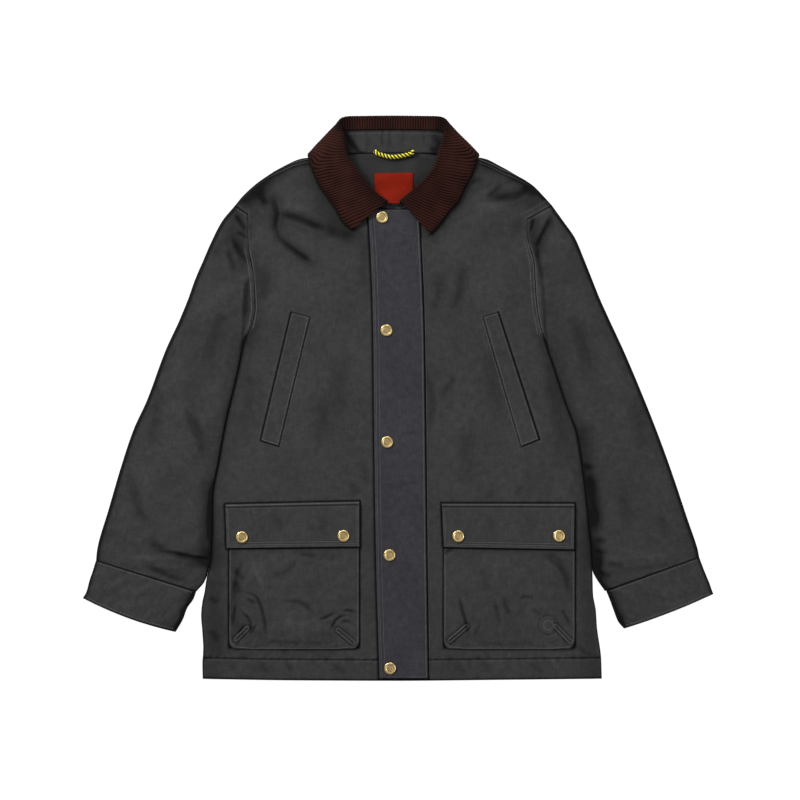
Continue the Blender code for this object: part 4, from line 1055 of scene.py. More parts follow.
def front(name, side, finish, seed, crease_rows, pocket_outline, flap_corners, welt_corners):
    """A front panel: hem, pocket and placket areas kept low, seams and creases on the rest."""
    right_hand = side == "right"
    centre = curve(((HEM_Y, CENTRE_X), (TIP_Y, CENTRE_X)))
    edges = (curve(RIGHT_SIDE), centre) if right_hand else (centre, curve(LEFT_SIDE))
    near = (EDGE_STEPS, CENTRE_STEPS) if right_hand else (CENTRE_STEPS, EDGE_STEPS)
    top_edge = curve(RIGHT_TOP if right_hand else LEFT_TOP)
    x, y, level, from_left, from_right, from_top = body_grid(*edges, top_edge, *near, *FRONT_GRID)
    from_side = from_left if right_hand else from_right
    x += SEAM / 2 * (1 - from_side / 300) * (-1 if right_hand else 1)
    low = front_underside(x, y, from_side, from_top)
    full = edge_fullness(x, level, from_side, from_top)
    from_hem = y - curve(HEM)(x)
    full = full * mix(0.45, 1.0, quarter(from_hem, WALL))
    top = low + mix(LIP, WALL, full)

    height, tone = creases(x, y, crease_rows)
    height += cloth_unevenness(x, y, seed)
    tone += shades(x, y, f"{side}_front")
    quiet = ease(from_side / 6) * ease(from_top / 6) * ease(from_hem / 5)
    height *= mix(0.25, 1.0, quiet)
    # The hem is turned up and stitched; the cloth puckers a little along it. Painted shade in the row's
    # groove and in the puckers' dips, painted highlight below the row and on the puckers' rises.
    off_row = from_hem - HEM_FOLD
    pucker = ripples(x, y, seed + 5, 13, 0.22) * soft(off_row, 7)
    row = line_at(off_row, 2.0)
    height += pucker - 0.55 * row
    tone -= row - 0.3 * line_at(off_row + 2.6, 1.6) - 0.7 * np.clip(pucker, -0.5, 0.2)
    # The armhole's edge is pressed down to the seam, and so is the shoulder's.
    at_arm = ease((level - UNDERARM[0]) / 20)
    height -= 0.8 * (1 - quarter(from_side, 2.0)) * at_arm
    # Its seam's painted shade and its rows' painted highlights show at the shoulder's tip and below, and
    # hardly where the sleeve's head is full.
    shown = at_arm * head_shown(level)
    tone -= shown * 0.9 * edge_shade(from_side, 1.3)
    for distance in ARMHOLE_ROWS[side]:
        tone += shown * 0.5 * line_at(from_side - distance, 1.5)
        height += at_arm * 0.25 * line_at(from_side - distance, 2.5)
    ditch = line_distance(x, y, SHOULDER_SEAMS[side])
    height -= 0.6 * edge_shade(ditch, 1.8)
    # Painted highlight beside the shoulder's seam, painted shade in it and a little further in.
    tone += 0.6 * line_at(ditch - 1.7, 1.3) - 0.9 * edge_shade(ditch, 1.1)
    tone -= 0.5 * line_at(ditch - 4.2, 1.8)
    # Painted shade on the outline where the cloth turns down, in the crease beside the sleeve, along the hem
    # and beside the collar's leaves.
    at_sleeve = by_body(level)
    tone -= 1.2 * edge_shade(from_top, 2.6) + (1 - at_arm) * GAP_LINE[side] * edge_shade(from_side, 2.6)
    tone -= (1 - at_arm) * at_sleeve * (0.5 * edge_shade(from_side, 6) + 0.32 * soft(from_side, 16))
    tone -= (1 - at_sleeve) * 0.7 * edge_shade(from_side, 3.0)
    tone -= 1.25 * edge_shade(from_hem, 4.6)
    at_collar = collar_gap(x, y)
    tone -= 0.85 * edge_shade(at_collar, 2.8) + 0.42 * soft(at_collar, 14)
    top = np.maximum(top + height, low + 0.8 * mix(0.3, 1.0, full))
    # What is sewn on lies on a flat place, with painted shadow on the front round its edges and a painted
    # highlight beside the welt.
    gap = np.minimum(outside(x, y, pocket_outline), outside(x, y, flap_corners))
    foot = ease((pocket_outline[2][1] + 4 - y) / 6)
    tone -= mix(1.6, 0.5, foot) * edge_shade(np.maximum(gap, 0), mix(2.3, 2.0, foot))
    at_welt, at_opening = gap_to_welt(x, y, welt_corners, "left" if right_hand else "right")
    tone -= 1.6 * edge_shade(at_opening, 2.2) + 0.35 * edge_shade(np.maximum(at_welt, 0), 1.6)
    tone += 0.3 * line_at(at_opening - 4.0, 1.6) + 0.16 * line_at(at_welt - 2.6, 1.6)
    flap_left, flap_right = (edge(y) for edge in storm_edges())
    flap_gap = np.maximum(np.maximum(flap_left - x, x - flap_right), y - STORM_FLAP[-1][0])
    tone -= 1.2 * edge_shade(np.maximum(flap_gap, 0), 3.4)
    gap = np.minimum(np.minimum(gap, at_welt), flap_gap)
    top = np.where(gap < 0.8, np.minimum(top, FRONT_TOP + 0.1), top)
    return laid_shell(name, x, y, top, low, finish, tone)


def back(finish):
    """The back panel, whose hem and shoulders show past the fronts."""
    shoulder = [p for p in RIGHT_TOP if p[0] < -102] + list(BACK_NECK) + [p for p in LEFT_TOP if p[0] > 84]
    x, y, level, from_left, from_right, from_top = body_grid(
        curve(RIGHT_SIDE), curve(LEFT_SIDE), curve(shoulder), EDGE_STEPS, EDGE_STEPS, *BACK_GRID)
    full = edge_fullness(x, level, np.minimum(from_left, from_right), from_top)
    from_hem = y - curve(HEM)(x)
    full = full * mix(0.6, 1.0, quarter(from_hem, WALL))
    upper = neck_lift(x, y) + WALL
    height, tone = creases(x, y, BACK_CREASES)
    row = edge_shade(from_hem - HEM_FOLD, 1.1)
    quiet = ease(from_left / 12) * ease(from_right / 12) * ease(from_top / 12)
    lower = upper - mix(LIP, WALL, full) + np.clip(height * quiet, 0, 0.9) + 0.35 * row
    # Painted shade along the creases and the hem's row; the strip that shows behind the neck lies in the
    # collar's painted shade.
    tone = -abs(tone) * 0.6 - 0.6 * row - 0.35 * ease((y - 356) / 6)
    return laid_shell("back_cloth", x, y, lower, upper, finish, tone)


# ---------------------------------------------------------------- sleeves and cuffs
FOLD_TURNS = np.pi * np.arange(1, 10) / 10     # the steps round a tube's fold
CUFF_LENGTH = 60.0
CUFF_GIRTH = 290.0


def sleeve(name, side, rows, side_rows, out, crease_rows, finish, seed):
    """A tube of cloth laid flat, folded round its outer edge."""
    body_side = curve(side_rows)
    away, outer_x, outer_y = (curve([(row[0], row[k]) for row in rows]) for k in (1, 2, 3))
    head, wrist = rows[0][0] - ARM_SEAM, rows[-1][0]
    steps = np.concatenate(((0, 0.6, 1.4, 2.6, 4.2, 6), np.linspace(8, head - wrist - 6, 250),
                            head - wrist - np.array((4.2, 2.6, 1.4, 0.6, 0))))
    level = head - steps
    s = ((rows[0][0] - level) / (rows[0][0] - wrist))[:, None]
    ax, ay = (body_side(level) + out * (away(level) - TUCK))[:, None], level[:, None]
    bx, by = outer_x(level)[:, None], outer_y(level)[:, None]
    width = np.hypot(bx - ax, by - ay)
    dx, dy = (bx - ax) / width, (by - ay) / width

    puff = SLEEVE_PUFF * ease((1 - s) / 0.06) * ease(s / 0.06)
    closed = below_arm(ay)

    def hollow_at(share):
        """How far the tube stands open at a share of its width."""
        folds = sum(h * segment_fold(s * SLEEVE_LENGTH, share * width, a1 * SLEEVE_LENGTH, c1 * width,
                                     a2 * SLEEVE_LENGTH, c2 * width, w)
                    for a1, c1, a2, c2, w, h in SLEEVE_FOLDS)
        plain = ease(share / 0.2) * ease((1 - share) / 0.15)
        return np.clip(SLEEVE_GAP + (puff * np.sin(np.pi * share) + folds) * plain, 0.5, MOST_HOLLOW)

    fold_hollow = hollow_at(np.ones_like(width))
    radius = 0.5 * fold_hollow + WALL
    centre = width - radius
    near = np.array(EDGE_STEPS) * np.minimum(1, (centre - 0.5) / 18.5)
    top_d = np.concatenate((near, mix(near[:, -1:], centre, np.linspace(0, 1, 58)[1:])), axis=1)
    hollow = hollow_at(top_d / width)
    hollow = mix(hollow, SEAM + (hollow - SEAM) * ease(top_d / ROLL), closed)
    full = mix(1.0, quarter(top_d, WALL), closed)
    x, y = ax + dx * top_d, ay + dy * top_d
    height, tone = creases(x, y, crease_rows)
    height += cloth_unevenness(x, y, seed)
    tone += shades(x, y, f"{side}_sleeve")
    from_fold = centre - top_d
    from_head, from_wrist = head - ay, ay - wrist
    height *= mix(0.2, 1.0, ease(top_d / 6)) * ease(from_fold / 10) * mix(0.3, 1.0, ease(from_wrist / 6))
    # Fullness eased into the armhole, and the cuff's seam.
    pucker = ripples(x, y, seed + 5, 12, 0.25) * np.exp(-from_wrist / 9)
    height += pucker * ease(from_fold / 10) * ease(top_d / 6)
    height -= 0.8 * (1 - quarter(top_d, 2.0)) * (1 - closed)
    shown = (1 - closed) * head_shown(ay)
    # Painted shade in the armhole's, head's and cuff's seams, painted highlight along the rows beside them.
    tone -= 0.9 * edge_shade(top_d, 1.2) * shown
    tone += 0.5 * line_at(top_d - SLEEVE_ROWS[side], 1.5) * shown
    height -= 0.9 * (1 - quarter(from_head, 2.0)) + 0.9 * (1 - quarter(from_wrist, 2.0))
    tone += 0.5 * line_at(from_head - 2.4, 1.5) - 0.8 * edge_shade(from_head, 1.2)
    tone -= 1.5 * edge_shade(from_wrist, 2.2)
    # Painted shade where the cloth turns down at its folds and beside the body.
    at_body = by_body(ay)
    tone -= 0.9 * edge_shade(from_fold, 4.0) + 0.22 * soft(from_fold, 12)
    clear = closed * (1 - at_body)
    tone -= closed * mix(GAP_LINE[side], 0.9, clear) * edge_shade(top_d, 2.6)
    tone -= clear * (0.6 * edge_shade(top_d, 5) + 0.3 * edge_shade(top_d, 12))
    tone -= closed * at_body * (0.5 * edge_shade(top_d, GAP_WIDTH[side]) + 0.30 * soft(top_d, 15))
    z_in = WALL + hollow
    z_top = np.maximum(z_in + mix(LIP, WALL, full) + height, z_in + 0.2)
    outer = [points_at(x, y, z_top)]
    inner = [points_at(x, y, np.minimum(z_in, z_top - 0.15))]
    tones, girth = [tone], [top_d]

    # Round the outer fold, with painted shade all round it, and back on the underside.
    middle = WALL + 0.5 * fold_hollow
    for turn in FOLD_TURNS:
        for grids, r in ((outer, radius), (inner, radius - WALL)):
            reach = centre + r * np.sin(turn)
            grids.append(points_at(ax + dx * reach, ay + dy * reach, middle + r * np.cos(turn)))
        tones.append(np.full_like(width, -1.0))
        girth.append(centre + radius * turn)
    under_shares = np.concatenate((np.linspace(0, 0.94, 26), (0.965, 0.98, 0.99, 0.996, 1)))
    under_d = mix(centre, 0 * centre, under_shares)
    full = mix(1.0, quarter(under_d, WALL), closed)
    x, y = ax + dx * under_d, ay + dy * under_d
    dents = np.clip(ripples(x, y, seed + 9, 60, 0.25), 0, 0.5)
    dents *= ease(under_d / 12) * ease((centre - under_d) / 12)
    outer.append(points_at(x, y, WALL - mix(LIP, WALL, full) + dents))
    inner.append(points_at(x, y, WALL))
    tones.append(0 * under_d)
    girth.append(2 * centre + np.pi * radius - under_d)
    outer, inner = np.concatenate(outer, axis=1), np.concatenate(inner, axis=1)
    # The head and the wrist reach a little further than in the solids, so that their seams close.
    share = np.hypot(outer[..., 0] - ax, outer[..., 1] - ay) / width
    reach = (HEAD_REACH * mix(0.2, 1.0, share) * edge_shade(from_head, 4)
             - WRIST_REACH * edge_shade(from_wrist, 4))
    for grid in (outer, inner):
        grid[..., 0] -= out * dy * reach
        grid[..., 1] += out * dx * reach
    girth = np.concatenate(girth, axis=1)
    return shell(name, outer, inner, finish, every=5, tone=np.concatenate(tones, axis=1),
                 cloth=points_at(girth, SLEEVE_LENGTH * (1 - s), 0) * MM)


def cuff(name, side, rows, finish, seed):
    """A stitched band round the wrist."""
    columns = [curve(list(zip(np.linspace(0, 1, len(rows)), column))) for column in zip(*rows)]
    s = np.concatenate(((0, 0.008, 0.02, 0.035, 0.06), np.linspace(0.09, 0.93, 34),
                        (0.95, 0.97, 0.985, 1)))[:, None]
    ox, oy, ix, iy = (column(s) for column in columns)
    width = np.hypot(ox - ix, oy - iy)
    dx, dy = (ox - ix) / width, (oy - iy) / width
    down_x, down_y = (dy, -dx) if side == "left" else (-dy, dx)
    radius = 0.5 * SLEEVE_GAP + WALL
    middle = WALL + 0.5 * SLEEVE_GAP
    at_seam, at_edge = s * CUFF_LENGTH, (1 - s) * CUFF_LENGTH
    slim = 0.9 * (1 - quarter(at_seam, 2.0)) + 0.9 * (1 - quarter(at_edge, 1.6))
    # Once round it: distance across, and how far the wall faces out and up there.
    flat = np.linspace(0, 1, 70)
    once_round = ([(mix(radius, width - radius, f), 0, 1) for f in flat]
                  + [(width - radius, math.sin(t), math.cos(t)) for t in FOLD_TURNS]
                  + [(mix(width - radius, radius, f), 0, -1) for f in flat[::2]]
                  + [(radius + 0 * width, -math.sin(t), -math.cos(t)) for t in FOLD_TURNS])
    outer, inner, tones = [], [], []
    for d, out, up in once_round:
        bow = 4 * CUFF_BOW[side] * s * d * (width - d) / width**2 - WRIST_REACH * edge_shade(at_seam, 4)
        x, y = ix + dx * d + bow * down_x, iy + dy * d + bow * down_y
        on_top = max(up, 0)
        wave = (cloth_unevenness(x, y, seed) + ripples(x, y, seed + 3, 12, 0.16)) * on_top
        for grid, r in ((outer, radius - slim * (0.4 + 0.6 * abs(up)) + wave), (inner, radius - WALL)):
            grid.append(points_at(x + dx * r * out, y + dy * r * out, middle + r * up))
        from_fold = np.minimum(d, width - d) - radius
        # Painted shade at the seam, at the edge, on the sides that face out and beside the folds; painted
        # highlight along the rows.
        tones.append(-1.4 * edge_shade(at_seam, 1.8) - 1.8 * edge_shade(at_edge, 2.6) - 1.3 * abs(out)
                     - 0.7 * edge_shade(from_fold, 3.0) * on_top
                     + 0.35 * line_at(at_seam - 2.6, 1.4) + 0.12 * line_at(at_edge - 2.8, 1.4)
                     + shades(x, y, f"{side}_cuff"))
    outer, inner, tones = (np.concatenate(grids, axis=1) for grids in (outer, inner, tones))
    cloth = points_at(np.linspace(0, CUFF_GIRTH, len(once_round)), at_edge, 0) * MM
    return ring_wall(name, outer, inner, finish, tone=tones, cloth=cloth)


# ---------------------------------------------------------------- what is sewn on the fronts
RIM = (0.0, 0.35, 0.9, 1.5, 2.1, 2.7, 3.4, 4.2, 5.0)
GROOVE = 0.25              # depth of the cloth under a row of stitches
STORM_ROWS = dict(left=(5.0, 9.5), right=(3.5,))


def rim_tone(edge, light=0.5, dark=1.7):
    """Painted shade where an edge goes down to the cloth under it, and a painted highlight a little in from
    the edge.
    """
    return light * line_at(edge - 2.6, 1.4) - dark * edge_shade(edge, 1.8)


def storm_flap(finish):
    """The long flap over the closure, with its rows of stitches."""
    left_edge, right_edge = storm_edges()
    low, high = STORM_FLAP[0][0], STORM_FLAP[-1][0]
    ys = np.concatenate((low + np.array(RIM), np.linspace(low + 7, high - 7, 320),
                         high - np.array(RIM)[::-1]))
    x = across(left_edge(ys), right_edge(ys), RIM + (7.5,), RIM + (7.5,), 34)
    y = np.repeat(ys[:, None], x.shape[1], axis=1)
    from_left, from_right = x - x[:, :1], x[:, -1:] - x
    edge = np.minimum(np.minimum(from_left, from_right), np.minimum(y - low, high - y))
    height, tone = creases(x, y, STORM_FLAP_CREASES)
    height += ripples(x, y, 41, 60, 0.10) + ripples(x, y, 42, 16, 0.05)
    # Painted shade in the grooves under the rows of stitches.
    for side, distance, dark in (("left", from_left, 0.22), ("right", from_right, 0.2)):
        for row in STORM_ROWS[side]:
            groove = edge_shade(distance - row, 1.0)
            height -= GROOVE * groove
            tone -= dark * groove
    top = ON_FRONT + mix(0.1, FLAP_WALL, quarter(edge, 2.0)) + height * ease(edge / 3)
    tone = tone + rim_tone(edge) + shades(x, y, "storm_flap")
    return laid_shell("storm_flap_cloth", x, y, top, ON_FRONT, finish, tone, every=6)


DARTS = dict(
    # foot and head of each dart that gathers a pocket's lower corners
    right=(((-243, -361), (-226, -344)), ((-67, -366), (-90, -347))),
    left=(((77, -363), (103, -341)), ((259, -365), (236, -341))),
)
EMBLEM = dict(x=225.0, y=-339.5, radius=8.0)
EMBLEM_RINGS = ((14.5, -0.5), (11.8, 0.3), (18.5, 0.2))    # radius and height of each, embossed


def pocket(name, side, size, flap_corners, crease_rows, finish, seed):
    """A patch with rounded lower corners, darted there, standing off the front."""
    left, right, top_y, bottom, corner = (size[k] for k in ("left", "right", "top", "bottom", "corner"))
    ys = np.concatenate((bottom + np.array(RIM + (6.5, 8.5, 10.5)),
                         np.linspace(bottom + 12, UNDER_FLAP + 8, 118),
                         np.linspace(UNDER_FLAP + 11, top_y, 16)))
    up = ys - bottom
    narrow = corner - np.sqrt(np.maximum(corner**2 - np.maximum(corner - up, 0) ** 2, 0))
    x = across(left + narrow, right - narrow, RIM, RIM, 150)
    y = np.repeat(ys[:, None], x.shape[1], axis=1)
    sink = 1.6 * np.sin(np.pi * np.clip((x - left) / (right - left), 0, 1)) ** 0.7
    y = y - sink * np.clip(1 - (y - bottom) / 40, 0, 1)
    up = up[:, None]
    edge = np.minimum(np.minimum(x - x[:, :1], x[:, -1:] - x), up)
    room = POCKET_GAP * ease(edge / 30) * ease((UNDER_FLAP - y) / 50)
    height, tone = creases(x, y, crease_rows)
    height += cloth_unevenness(x, y, seed) + ripples(x, y, seed + 7, 26, 0.16)
    height *= ease(edge / 5) * ease((UNDER_FLAP + 6 - y) / 8)
    height += ripples(x, y, seed + 8, 11, 0.22) * soft(up - 7, 7) * ease(edge / 3)
    for dart in DARTS[side]:
        off = line_distance(x, y, dart)
        height += 0.5 * line_at(off - 2.2, 1.8) - 0.7 * line_at(off, 1.8) - 0.6 * line_at(off - 5.2, 2.2)
        # Painted highlight on the dart's fold, painted shade in its line and beside it.
        tone += 0.65 * line_at(off - 2.2, 1.6) - line_at(off, 1.6) - 0.7 * line_at(off - 5.0, 2.0)
    if side == "left":
        off = np.hypot(x - EMBLEM["x"], y - EMBLEM["y"])
        for radius, lift in EMBLEM_RINGS:
            height += lift * edge_shade(off - radius, 2.0)
        # Painted shade in the sunk ring.
        tone -= 0.35 * edge_shade(off - EMBLEM_RINGS[0][0], 2.2)
    # Painted shadow under the flap's edge.
    flap_gap = np.maximum(outside(x, y, flap_corners), 0)
    tone -= 1.4 * edge_shade(flap_gap, 2.6) + 0.2 * soft(flap_gap, 9)
    z = ON_FRONT + room
    top = z + np.maximum(mix(0.1, DOUBLE, quarter(edge, 1.8)) + height, 0.1)
    at_foot = ease((bottom + 8 - y) / 6)
    tone = tone + rim_tone(edge, mix(0.45, 0.35, at_foot), mix(0.8, 0.5, at_foot))
    tone += shades(x, y, f"{side}_pocket")
    return laid_shell(name, x, y, top, z, finish, tone)


PATCH_STEP = 1.5


def patch(name, corners, finish, lift, crease_rows, seed, rows, top_strip=0.0, across_step=PATCH_STEP,
          faint=None):
    """A four-cornered piece that lies on a front, with grooves under its rows of stitches.

    Its faint side is sewn flat and hardly shows.
    """
    (ax, ay), (bx, by), (cx, cy), (dx, dy) = corners
    wide, deep = math.hypot(bx - ax, by - ay), math.hypot(dx - ax, dy - ay)
    rim = np.array(RIM)

    def shares(size, step):
        inner = np.linspace(6.0, size - 6.0, max(int(size / step), 3))
        return np.concatenate((rim, inner, size - rim[::-1])) / size

    u, v = np.meshgrid(shares(wide, across_step), shares(deep, PATCH_STEP))
    x = mix(mix(ax, bx, u), mix(dx, cx, u), v)
    y = mix(mix(ay, by, u), mix(dy, cy, u), v)
    sides = dict(left=u * wide, right=(1 - u) * wide, top=v * deep, bottom=(1 - v) * deep)
    edge = np.minimum.reduce(list(sides.values()))
    height, tone = creases(x, y, crease_rows)
    height += ripples(x, y, seed, 50, 0.12) + ripples(x, y, seed + 1, 14, 0.04)
    # Painted shade in the grooves under the rows of stitches and in the flap's fold, with a faint painted
    # highlight between the fold and the top edge.
    for where, distance in rows:
        groove = edge_shade(sides[where] - distance, 1.0)
        height -= GROOVE * groove
        tone -= 0.2 * groove
    if top_strip:
        groove = edge_shade(sides["top"] - top_strip, 1.7)
        height -= 0.9 * groove
        tone -= 1.3 * groove - 0.10 * line_at(sides["top"] - 0.5 * top_strip, 2.4)
    z = lift(v)
    top = z + np.maximum(mix(0.1, DOUBLE, quarter(edge, 1.8)) + height * ease(edge / 3), 0.1)
    strength = mix(0.25, 1.0, ease(sides[faint] / 4)) if faint else 1.0
    tone = tone + rim_tone(edge) * strength + shades(x, y, name)
    return laid_shell(name, x, y, top, z, finish, tone)


# ---------------------------------------------------------------- collar
def neck_point(x, side):
    """A point of the neck seam, and the direction away from the cloth there."""
    line = curve(dict(right=RIGHT_TOP, left=LEFT_TOP, back=BACK_NECK)[side])
    slope = float(line(x + 0.5) - line(x - 0.5))
    steep = math.hypot(slope, 1)
    return x, float(line(x)), -slope / steep, 1 / steep


def collar_frames(steps):
    """Neck seam, roll and free edge, and two directions at the roll, at each step."""
    places = []
    for seam_x, side, seam_z, *roll_and_edge in COLLAR:
        nx, ny, away_x, away_y = neck_point(seam_x, side)
        clear = SEAM if side == "back" else 3 * SEAM + 0.5 * WALL
        places.append([nx + away_x * clear, ny + away_y * clear, seam_z] + roll_and_edge)
    table = np.stack([curve(list(enumerate(column)))(steps) for column in zip(*places)], axis=1)
    seam, roll, edge = table[:, 0:3], table[:, 3:6], table[:, 6:9]
    back_down, over = unit(seam - roll), unit(edge - roll)
    inward = unit(back_down + over)
    apart = back_down - over
    apart[:, 2] += (seam[:, 2] - edge[:, 2]) / 8
    apart = unit(apart - inward * (apart * inward).sum(1, keepdims=True))
    return seam, roll, edge, inward, apart


def grid_normals(grid):
    """Direction square to a grid at each of its points."""
    faces = np.cross(grid[1:, 1:] - grid[:-1, :-1], grid[:-1, 1:] - grid[1:, :-1])
    total = np.zeros_like(grid)
    for rows in (slice(None, -1), slice(1, None)):
        for columns in (slice(None, -1), slice(1, None)):
            total[rows, columns] += faces
    return unit(total)


WALE_TURN = (
    # row of COLLAR, degrees that the ribs turn off the section there
    (0, -9), (1, -11), (4, -12), (5, -14), (6, -23), (7, -33), (8, -38), (9, -40), (10, -10),
    (11, 0), (15, 0), (16, 10), (17, 40), (18, 38), (19, 28), (20, 18), (21, 13), (22, 12),
    (24, 14), (25, 17), (26, 19),
)
STAND_FOLDS = ((-23, 0.7), (40, 0.35), (-12, 0.4), (8, 0.4))    # x and depth
FALL_START = (0, 0.03, 0.1, 0.3, 0.55, 0.8, 1)                   # steps from the stand to the roll
FALL_STEPS = np.concatenate((np.linspace(0, 0.94, 40), (0.965, 0.98, 0.99, 0.996, 1)))
STAND_STEPS = np.concatenate((np.linspace(0, 0.94, 26), (0.97, 1.0)))
END_STEPS = np.array((0, 0.35, 0.9, 1.6))
ROLL_TURNS = np.pi * np.arange(1, 12) / 12
THIN_EDGE = 0.15           # share of the fall's wall that is left at its edge


def collar(stand_finish, fall_finish):
    """The stand and the ribbed fall, from one grid of middle points."""
    coarse = np.linspace(0, len(COLLAR) - 1, 400)
    run = lengths_along(collar_frames(coarse)[1])
    lengths = np.concatenate((END_STEPS, np.linspace(2.3, run[-1] - 2.3, 640), run[-1] - END_STEPS[::-1]))
    steps = np.interp(lengths, run, coarse)
    lengths = lengths[:, None]
    seam, roll, edge, inward, apart = collar_frames(steps)
    start = roll + (inward + apart) * ROLL_RADIUS
    centre = roll + inward * ROLL_RADIUS
    end = centre - apart * ROLL_RADIUS

    stand = [mix(seam, start, STAND_SHARE * f) for f in STAND_STEPS]
    fall = [mix(seam, start, mix(STAND_SHARE + 0.02, 1, f)) for f in FALL_START]
    fall += [centre + apart * ROLL_RADIUS * np.cos(turn) - inward * ROLL_RADIUS * np.sin(turn)
             for turn in ROLL_TURNS]
    fall += [mix(end, edge, f) for f in FALL_STEPS]
    stand, fall = np.stack(stand, axis=1), np.stack(fall, axis=1)
    crest = len(FALL_START) + len(ROLL_TURNS) // 2

    # Distance down the fall from the roll's crest, along each section.
    down = np.cumsum(np.linalg.norm(np.diff(fall, axis=1, prepend=fall[:, :1]), axis=2), axis=1)
    down -= down[:, crest:crest + 1]
    from_edge = down[:, -1:] - down
    from_ends = np.minimum(lengths, lengths[-1] - lengths)
    turn = np.radians(curve(WALE_TURN)(steps))[:, None]
    x, y = fall[..., 0], fall[..., 1]
    phase = (lengths + np.tan(turn) * np.maximum(down, 0) * ease(down / 12)) / WALE_PITCH
    phase = phase + ripples(x, y, 73, 40, 0.07)
    rib = abs(np.cos(np.pi * phase)) ** 0.7
    normal = grid_normals(fall)
    # The grid's own directions may point into the collar.
    side = -1.0 if (normal[:, crest] * inward).sum() > 0 else 1.0
    edge_round = np.minimum(quarter(from_edge, 1.6), quarter(from_ends, 1.6))
    half = 0.5 * FALL_WALL * mix(THIN_EDGE, 1.0, edge_round)
    loose = ripples(x, y, 71, 45, 0.25) * ease(from_edge / 10) * ease(down / 10)
    ribbed = half + WALE_HEIGHT * (rib - 0.6) * edge_round + loose
    outer = fall + side * normal * ribbed[..., None]
    inner = fall - side * normal * half[..., None]
    # Painted highlight over the middle of the fall, painted shade along its free edge and beside the roll's
    # crest.
    tone = (0.28 * ease(down / 20) * ease(from_edge / 18) - 0.6 * edge_shade(from_edge, 3)
            - 0.3 * edge_shade(from_edge, 12) - 0.25 * edge_shade(down, 9))
    tone += ripples(x, y, 72, 30, 0.08)
    # The strip that shows behind the neck gets painted shade in its corners and along its foot.
    tone -= 0.7 * ease((y - 395) / 8) * ease(1 - down / 16) * (ease((-66 - x) / 10) + ease((x - 52) / 10))
    fall_made = shell("collar_cloth", outer, inner, fall_finish, tone=tone,
                      cloth=points_at(lengths, down, 0) * MM, wale=phase)

    normal = grid_normals(stand)
    tall = np.linalg.norm(stand[:, -1] - stand[:, 0], axis=1)[:, None]
    from_top, from_seam = (1 - STAND_STEPS) * tall, STAND_STEPS * tall
    x, y = stand[..., 0], stand[..., 1]
    wave = ripples(x, 0.3 * y, 81, 20, 0.35) * ease(from_top / 4) * ease(from_seam / 4)
    # Painted highlight along the row under the fall; painted shade at the stand's top and seam, over all of
    # it, more at its ends under the leaves, and in its folds.
    tone = 0.45 * line_at(from_top - 5.0, 1.6) - edge_shade(from_top, 3.2) - edge_shade(from_seam, 3.2)
    tone -= 0.14 + 0.5 * ease((-60 - x) / 18) + 0.5 * ease((x - 42) / 22)
    tone += shades(x, y, "collar_stand")
    for fold_x, depth in STAND_FOLDS:
        fold = soft(x - fold_x, 2.6) * ease((y - 372) / 10)
        wave -= depth * fold * ease(from_top / 5)
        tone -= 0.4 * depth * fold
    outer = stand + side * normal * (0.5 * WALL + wave)[..., None]
    inner = stand - side * normal * 0.5 * WALL
    stand_made = shell("collar_stand_cloth", outer, inner, stand_finish, tone=tone,
                       cloth=points_at(lengths, from_seam, 0) * MM)
    return stand_made, fall_made


# ---------------------------------------------------------------- inside the neck
FACING_FOOT, FACING_TOP = 290, 361
FACING_INSET = 7
LABEL_STEPS = np.concatenate(((0, 0.3, 0.8, 1.5), np.linspace(2.5, 55.5, 50), (56.5, 57.2, 57.7, 58)))


def neck_facing(finish):
    """The part of the lining that shows between the collar's leaves."""
    left = curve([(y, x) for x, y in RIGHT_TOP if -103 < x < 0])
    right = curve([(y, x) for x, y in LEFT_TOP if 2 < x < 85])
    ys = np.linspace(FACING_FOOT, FACING_TOP, 60)
    side = np.minimum(ys, 356)
    left_x, right_x = left(side), right(side)
    x = across(left_x + FACING_INSET, right_x - FACING_INSET, (0,), (0,), 90)
    y = np.repeat(ys[:, None], x.shape[1], axis=1)
    z = neck_lift(x, y) + ON_BACK
    wave = ripples(x, y, 91, 26, 0.16) + ripples(x, y, 92, 60, 0.2)
    # Cloudy, with painted shade along its top edge and painted shadow of the leaves beside them.
    tone = ripples(x, y, 93, 40, 0.07) - 0.25 * edge_shade(FACING_TOP - y, 5)
    by_leaf = np.minimum(x - left_x[:, None], right_x[:, None] - x)
    tone -= 0.85 * soft(by_leaf - 6, 14)
    return laid_shell("neck_facing_cloth", x, y, z + FACING_WALL + wave * 0.6, z, finish, tone)


def label(finish):
    """A plain woven label, bare, lying flat; its ends are thinned but not shown folded and sewn down."""
    x, y = np.meshgrid(LABEL_STEPS + LABEL["left"], np.linspace(LABEL["bottom"], LABEL["top"], 52))
    y = y + (x - LABEL["left"]) / LABEL_STEPS[-1] * ease((y - 320) / 18)
    z = neck_lift(x, y) + ON_BACK + FACING_WALL + SEAM + LOOSE
    edge = np.minimum(np.minimum(x - LABEL["left"], LABEL["right"] - x), LABEL["top"] - y + 0.5)
    wave = ripples(x, y, 95, 24, 0.12)
    thick = LABEL_WALL * mix(0.3, 1, quarter(edge, 1.0)) + wave * ease(edge / 3)
    # Painted shade along its edges, and woven bands across it, without any lettering.
    tone = -0.5 * np.clip(1 - edge / 0.8, 0, 1) + 0.06 * np.sin(2 * np.pi * y / 1.4)
    return laid_shell("label_cloth", x, y, z + np.maximum(thick, 0.3), z, finish, tone)


def neighbours(sides):
    """Pairs of places next to each other round a ring."""
    return [(j, (j + 1) % sides) for j in range(sides)]


def ring_faces(count, sides):
    """Corners of the faces between rings of points that follow each other."""
    return [(i * sides + j, i * sides + k, (i + 1) * sides + k, (i + 1) * sides + j)
            for i in range(count - 1) for j, k in neighbours(sides)]


